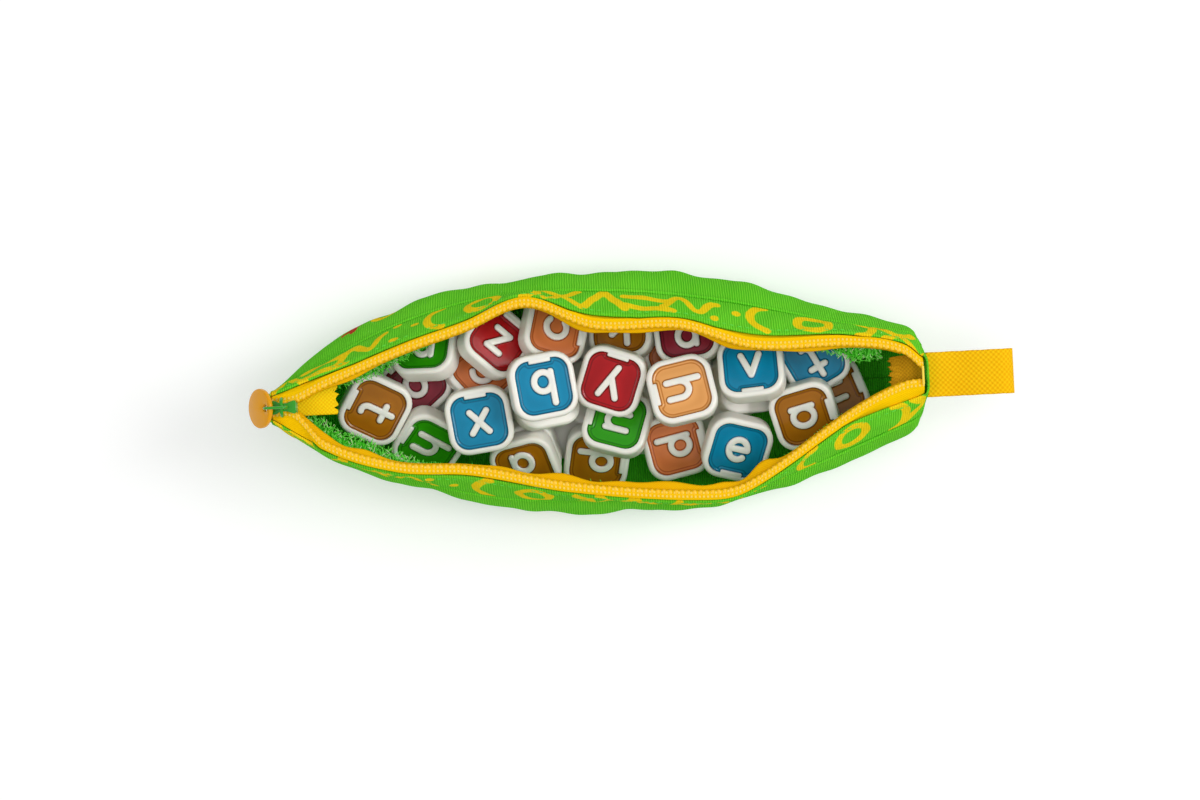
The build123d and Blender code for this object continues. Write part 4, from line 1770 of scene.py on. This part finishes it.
            bmesh.ops.holes_fill(part, edges=boundary(part), sides=0)
        bmesh.ops.recalc_face_normals(part, faces=part.faces[:])
        merge(bm, part)


class TileHeap:
    """The tiles where the CAD nodes hold them, each with its body, face and letter."""

    heaped_letters = "tohnxczpecdyukdopevatnb"

    def __init__(self, shop: Workshop) -> None:
        """Keep the workshop and start the tile's shapes.

        Args:
            shop: Where pieces are made.
        """
        self.shop = shop
        self.tile = Tile()
        self.letters = Letters()

    def seats(self, node: str, lettered: bool) -> list[Seat]:
        """Find where a node's tiles lie.

        Args:
            node: The CAD node.
            lettered: Whether its tiles have a face's pocket.

        Returns:
            The seats, ordered along the pouch.
        """
        bm = bmesh.new()
        bm.from_mesh(self.shop.nodes[node].data)
        bmesh.ops.remove_doubles(bm, verts=bm.verts[:], dist=1e-6)
        bm.normal_update()
        found, seen = [], set()
        for first in bm.faces:
            if first in seen:
                continue
            island, stack = [], [first]
            seen.add(first)
            while stack:
                face = stack.pop()
                island.append(face)
                for near in (f for e in face.edges for f in e.link_faces):
                    if near not in seen:
                        seen.add(near)
                        stack.append(near)
            found.append(self.seat(island, lettered))
        bm.free()
        return sorted(found, key=lambda seat: seat.middle.x)

    def seat(self, island: list[bmesh.types.BMFace], lettered: bool) -> Seat:
        """Find where one tile lies from its faces.

        Args:
            island: The faces of its CAD solid.
            lettered: Whether it has a face's pocket.

        Returns:
            Its seat.
        """
        planes: dict[tuple[int, ...], list[bmesh.types.BMFace]] = {}
        for face in island:
            if face.calc_area() > 1e-8:
                level = round(face.normal.dot(face.verts[0].co) / MM * 5)
                key = (*(round(c * 200) for c in face.normal), level)
                planes.setdefault(key, []).append(face)

        def area(faces: list[bmesh.types.BMFace]) -> float:
            """The faces' area."""
            return sum(f.calc_area() for f in faces)

        def centre(faces: list[bmesh.types.BMFace]) -> Vector:
            """The faces' middle by area."""
            weighed = (f.calc_center_median() * f.calc_area() for f in faces)
            return sum(weighed, Vector()) / area(faces)

        groups = sorted(planes.values(), key=area, reverse=True)
        back = groups[0]
        if not lettered and back[0].normal.z > 0:
            back = next(g for g in groups[1:] if g[0].normal.dot(back[0].normal) < -0.9)
        out = -back[0].normal.copy()
        middle = centre(back) + out * (self.tile.thick / 2 * MM)
        if lettered:
            pocket = next(g for g in groups if g[0].normal.dot(out) > 0.99)
            foot = centre(back) - centre(pocket)
        else:
            corners = (e for f in island for e in f.edges if self.is_corner(e))
            edge = max(corners, key=lambda e: e.calc_length())
            foot = edge.verts[1].co - edge.verts[0].co
        foot = (foot - out * foot.dot(out)).normalized()
        return Seat(middle, foot, out)

    @staticmethod
    def is_corner(edge: bmesh.types.BMEdge) -> bool:
        """Whether an edge is between two walls of a tile."""
        return len(edge.link_faces) == 2 and edge.calc_face_angle() > 1

    @staticmethod
    def heap(parts: Iterable[tuple[bmesh.types.BMesh, Seat]]) -> bmesh.types.BMesh:
        """Bring built parts to their seats in one mesh.

        Args:
            parts: Each part in millimetres, which is freed, and its seat.

        Returns:
            The mesh, in metres.
        """
        whole = bmesh.new()
        for bm, seat in parts:
            bmesh.ops.scale(bm, vec=(MM, MM, MM), verts=bm.verts[:])
            bmesh.ops.transform(bm, matrix=seat.matrix(), verts=bm.verts[:])
            merge(whole, bm)
        return whole

    def dress(
        self,
        label: str,
        tiles: Sequence[tuple[Seat, str, Finish]],
        node: str,
        face_nodes: dict[Finish, str],
        body: str,
    ) -> None:
        """Build the bodies, faces and letters of some tiles.

        Args:
            label: The pieces' first word.
            tiles: Each tile's seat, letter and colour.
            node: The CAD node of their bodies.
            face_nodes: The CAD node of each colour's faces.
            body: The body that they ride on.
        """
        tile, half = self.tile, self.letters.stroke
        marked = [(seat, self.letters.strokes(letter), finish) for seat, letter, finish in tiles]
        bodies = self.heap((tile.body(True), seat) for seat, _, _ in marked)
        self.shop.piece(bodies, f"{label}_bodies", Finish.IVORY, [node], body, 50, "tile_body")
        letters = self.heap((tile.raised(strokes, half), seat) for seat, strokes, _ in marked)
        self.shop.piece(letters, f"{label}_letters", Finish.IVORY, (), body, 50, "tile_body")
        for finish, face_node in face_nodes.items():
            alike = [(seat, strokes) for seat, strokes, colour in marked if colour is finish]
            faces = self.heap((tile.glazed(strokes), seat) for seat, strokes in alike)
            slot = f"{finish.name.lower()}_face"
            self.shop.piece(faces, f"{label}_{face_node}", finish, [face_node], body, 40, slot)

    def build(self) -> None:
        """Build and dress all the tiles."""
        finishes = (
            Finish.BLUE, Finish.GREEN, Finish.RED, Finish.MAROON, Finish.ORANGE, Finish.BROWN,
        )
        colours = {finish: f"{finish.name.lower()}_faces" for finish in finishes}
        middles = [
            (seat.middle, finish)
            for finish, node in colours.items()
            for seat in self.seats(node, False)
        ]
        tiles = []
        for seat, letter in zip(self.seats("letter_tiles", True), self.heaped_letters):
            finish = min(middles, key=lambda pair: (pair[0] - seat.middle).length)[1]
            tiles.append((seat, letter, finish))
        self.dress("heaped", tiles, "letter_tiles", colours, "pouch")
        for node in ("buried_tiles", "turned_tiles"):
            plain = self.heap((self.tile.body(False), seat) for seat in self.seats(node, False))
            self.shop.piece(plain, f"plain_{node}", Finish.IVORY, [node], "pouch", 50, "tile_body")
        for word, letter, finish, body in (
            ("left_blue", "b", Finish.BLUE, "left_lift_tile"),
            ("right_peach", "h", Finish.PEACH, "right_lift_tile"),
        ):
            node, faces = f"{word}_tile", {finish: f"{word}_face"}
            lifted = [(seat, letter, finish) for seat in self.seats(node, True)]
            self.dress(f"lifted_{word}", lifted, node, faces, body)


# ------------------------------------------------------------------ loose threads and stitches
@dataclass(frozen=True)
class Threads:
    """The frayed threads along the seam allowances, and the rows of stitches on the bands."""

    lines: ClothLines
    fray: int = 1500
    stretches: Path = ((-0.93, -0.5), (0.45, 0.87), (-0.9, 0.87))
    flare_depth: float = 5.6
    stitch_pitch: float = 2.6
    stitch_end: float = 104.0
    stitch_size: tuple[float, float, float] = (0.2, 0.2, 0.85)

    def template(self) -> bpy.types.Mesh:
        """Build one curled strand of unit length and radius, from its foot up.

        Returns:
            The strand's mesh.
        """
        bm = bmesh.new()
        bmesh.ops.create_circle(bm, cap_ends=True, segments=3, radius=1)
        face = next(iter(bm.faces))
        for curl in (1.2, 0.5, -1.6):
            made = moved_out(bm, [face], Vector((curl, curl / 2, 1 / 3)))
            face = next(f for f in made if isinstance(f, bmesh.types.BMFace))
        bmesh.ops.recalc_face_normals(bm, faces=bm.faces[:])
        mesh = bpy.data.meshes.new("strand")
        bm.to_mesh(mesh)
        bm.free()
        return mesh

    @staticmethod
    def laid(start: Vector, way: Vector) -> Matrix:
        """The matrix that lays an upright shape along a line, from millimetres to metres."""
        turn = way.to_track_quat("Z", "X").to_matrix().to_4x4()
        return Matrix.Scale(MM, 4) @ Matrix.Translation(start) @ turn

    def frayed(self, side: Side, seed: int, count: int, radius: float) -> bmesh.types.BMesh:
        """Build one side's loose threads.

        Args:
            side: The wall.
            seed: Where the scatter starts.
            count: How many there are.
            radius: Their radius.

        Returns:
            The threads, in metres.
        """
        rng = random.Random(seed)
        shape = self.template()
        bm = bmesh.new()
        for _ in range(count):
            s = rng.choice([rng.uniform(low, high) for low, high in self.stretches])
            root, top = self.lines.wall(side, s)["root"]
            depth = rng.uniform(0.5, 6.4)
            y = root - 2.2 - 0.16 * depth - self.lines.flare(side, s) * depth / self.flare_depth
            start = self.lines.point(side, s, y, top - 1.0 - depth + rng.uniform(0, 0.6))
            lean = (rng.uniform(-1.0, 1.0), -side.value * rng.uniform(0.1, 1.0))
            way = Vector((*lean, rng.uniform(-0.9, 0.6)))
            size = Matrix.Diagonal((radius, radius, rng.uniform(0.8, 2.2), 1))
            before = len(bm.verts)
            bm.from_mesh(shape)
            place = self.laid(start, way) @ size
            bmesh.ops.transform(bm, matrix=place, verts=bm.verts[before:])
        bpy.data.meshes.remove(shape)
        return bm

    def stitches(self, side: Side) -> bmesh.types.BMesh:
        """Build the row of stitches under one band's top fold.

        Args:
            side: The wall.

        Returns:
            The stitches, in metres.
        """
        bm = bmesh.new()
        x, step = -self.stitch_end, self.lines.slope_step
        while x < self.stitch_end:
            s = x / self.lines.half_length
            high, up, out = self.lines.band_slope(side, s)
            spot = high - up * 2.0 + out * 0.06
            (y0, z0), (y1, z1) = (self.lines.wall(side, at)["root"] for at in (s, s + step))
            way = Vector((step * self.lines.half_length, side.value * (y1 - y0), z1 - z0))
            made = bmesh.ops.create_uvsphere(bm, u_segments=6, v_segments=4, radius=1.0)["verts"]
            bmesh.ops.scale(bm, vec=self.stitch_size, verts=made)
            start = Vector((x, side.value * spot.y, spot.z))
            bmesh.ops.transform(bm, matrix=self.laid(start, way), verts=made)
            x += self.stitch_pitch / math.hypot(1, way.y / way.x)
        return bm

    def build(self, shop: Workshop) -> None:
        """Build and dress the threads.

        Args:
            shop: Where pieces are made.
        """
        kinds = (
            (Finish.THREAD, 11, self.fray, 0.13),
            (Finish.PALE_THREAD, 12, self.fray // 4, 0.11),
        )
        for side in Side:
            for finish, seed, count, radius in kinds:
                bm = self.frayed(side, seed + side.value, count, radius)
                name = f"{side.label}_{finish.value.name}_fringe"
                fringe = shop.piece(bm, name, finish, (), None, 60, "frayed_hem")
                bend_with_lip(fringe, side, self.lines.follow)
            bm, name = self.stitches(side), f"{side.label}_stitches"
            row = shop.piece(bm, name, Finish.THREAD, (), None, 60, "thread")
            bend_with_lip(row, side, self.lines.follow)


# ------------------------------------------------------------------ studio
@dataclass(frozen=True)
class Studio:
    """The white table, the soft lights and the camera straight above the pouch.

    A lamp is its name, its place in metres, its size, its power and whether it shows in gloss.
    """

    focus_height: float = 57.0
    distance: float = 939.9
    lens: float = 86.0
    turn: float = 2.897
    aside: tuple[float, float] = (0.66, -2.79)
    table_glow: float = 0.26
    world_light: float = 0.42
    lamps: tuple[tuple[str, tuple[float, float, float], float, float, bool], ...] = (
        ("right", (1.1, 0.12, 1.1), 0.7, 10.5, True),
        ("left", (-0.95, -0.1, 1.25), 0.8, 4.6, True),
        ("above", (0.1, 0.0, 1.5), 0.7, 4.6, False),
    )

    def camera(self) -> None:
        """Set the camera over the pouch."""
        data = bpy.data.cameras.new("camera")
        data.sensor_width = 36
        data.lens = self.lens
        data.clip_end = 20
        made = bpy.data.objects.new("camera", data)
        turn = math.radians(-self.turn)
        right, up = self.aside
        x = right * math.cos(turn) - up * math.sin(turn)
        y = right * math.sin(turn) + up * math.cos(turn)
        made.location = (x * MM, y * MM, (self.focus_height + self.distance) * MM)
        made.rotation_euler = (0, 0, turn)
        bpy.context.scene.collection.objects.link(made)
        bpy.context.scene.camera = made

    def floor(self) -> None:
        """Lay the white table, which glows white to the camera and keeps the pouch's shadow."""
        shader = Shader("white_table")
        rays = shader.node("ShaderNodeLightPath")
        seen, glossy, through = (
            Number(shader, rays.outputs[f"Is {kind} Ray"])
            for kind in ("Camera", "Glossy", "Transmission")
        )
        glow = shader.math("MINIMUM", seen + glossy + through, 1.0) * self.table_glow
        shader.dress({"Base Color": (0.8, 0.8, 0.8), "Roughness": 0.9, "Specular IOR Level": 0.0})
        shader.dress({"Emission Color": glow, "Emission Strength": 1.0})
        bm = bmesh.new()
        bmesh.ops.create_grid(bm, x_segments=1, y_segments=1, size=6)
        mesh = bpy.data.meshes.new("table")
        bm.to_mesh(mesh)
        bm.free()
        mesh.materials.append(shader.material)
        table = bpy.data.objects.new("table", mesh)
        bpy.context.scene.collection.objects.link(table)

    def lights(self) -> None:
        """Hang the soft lights and a pale world."""
        for name, place, size, power, shine in self.lamps:
            data = bpy.data.lights.new(name, "AREA")
            data.size = size
            data.energy = power
            light = bpy.data.objects.new(name, data)
            light.location = place
            light.rotation_euler = (-Vector(place)).to_track_quat("-Z", "Y").to_euler()
            light.visible_glossy = shine
            bpy.context.scene.collection.objects.link(light)
        world = bpy.data.worlds.new("studio")
        bpy.context.scene.world = world
        world.use_nodes = True
        background = world.node_tree.nodes["Background"]
        background.inputs["Color"].default_value = (1, 1, 1, 1)
        background.inputs["Strength"].default_value = self.world_light

    def build(self) -> None:
        """Set up the camera, the table and the lights."""
        self.camera()
        self.floor()
        self.lights()
        bpy.context.scene.view_settings.view_transform = "Standard"


def main() -> None:
    """Build the scene."""
    logging.basicConfig(level=logging.INFO, format="%(message)s")
    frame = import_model()
    shop = Workshop(frame)
    lines = ClothLines()
    Studio().build()
    Pouch(lines).build(shop)
    Zip(lines).build(shop)
    HangingLoop().build(shop)
    TileHeap(shop).build()
    Threads(lines).build(shop)
    bpy.context.view_layer.update()


if __name__ == "__main__":
    main()
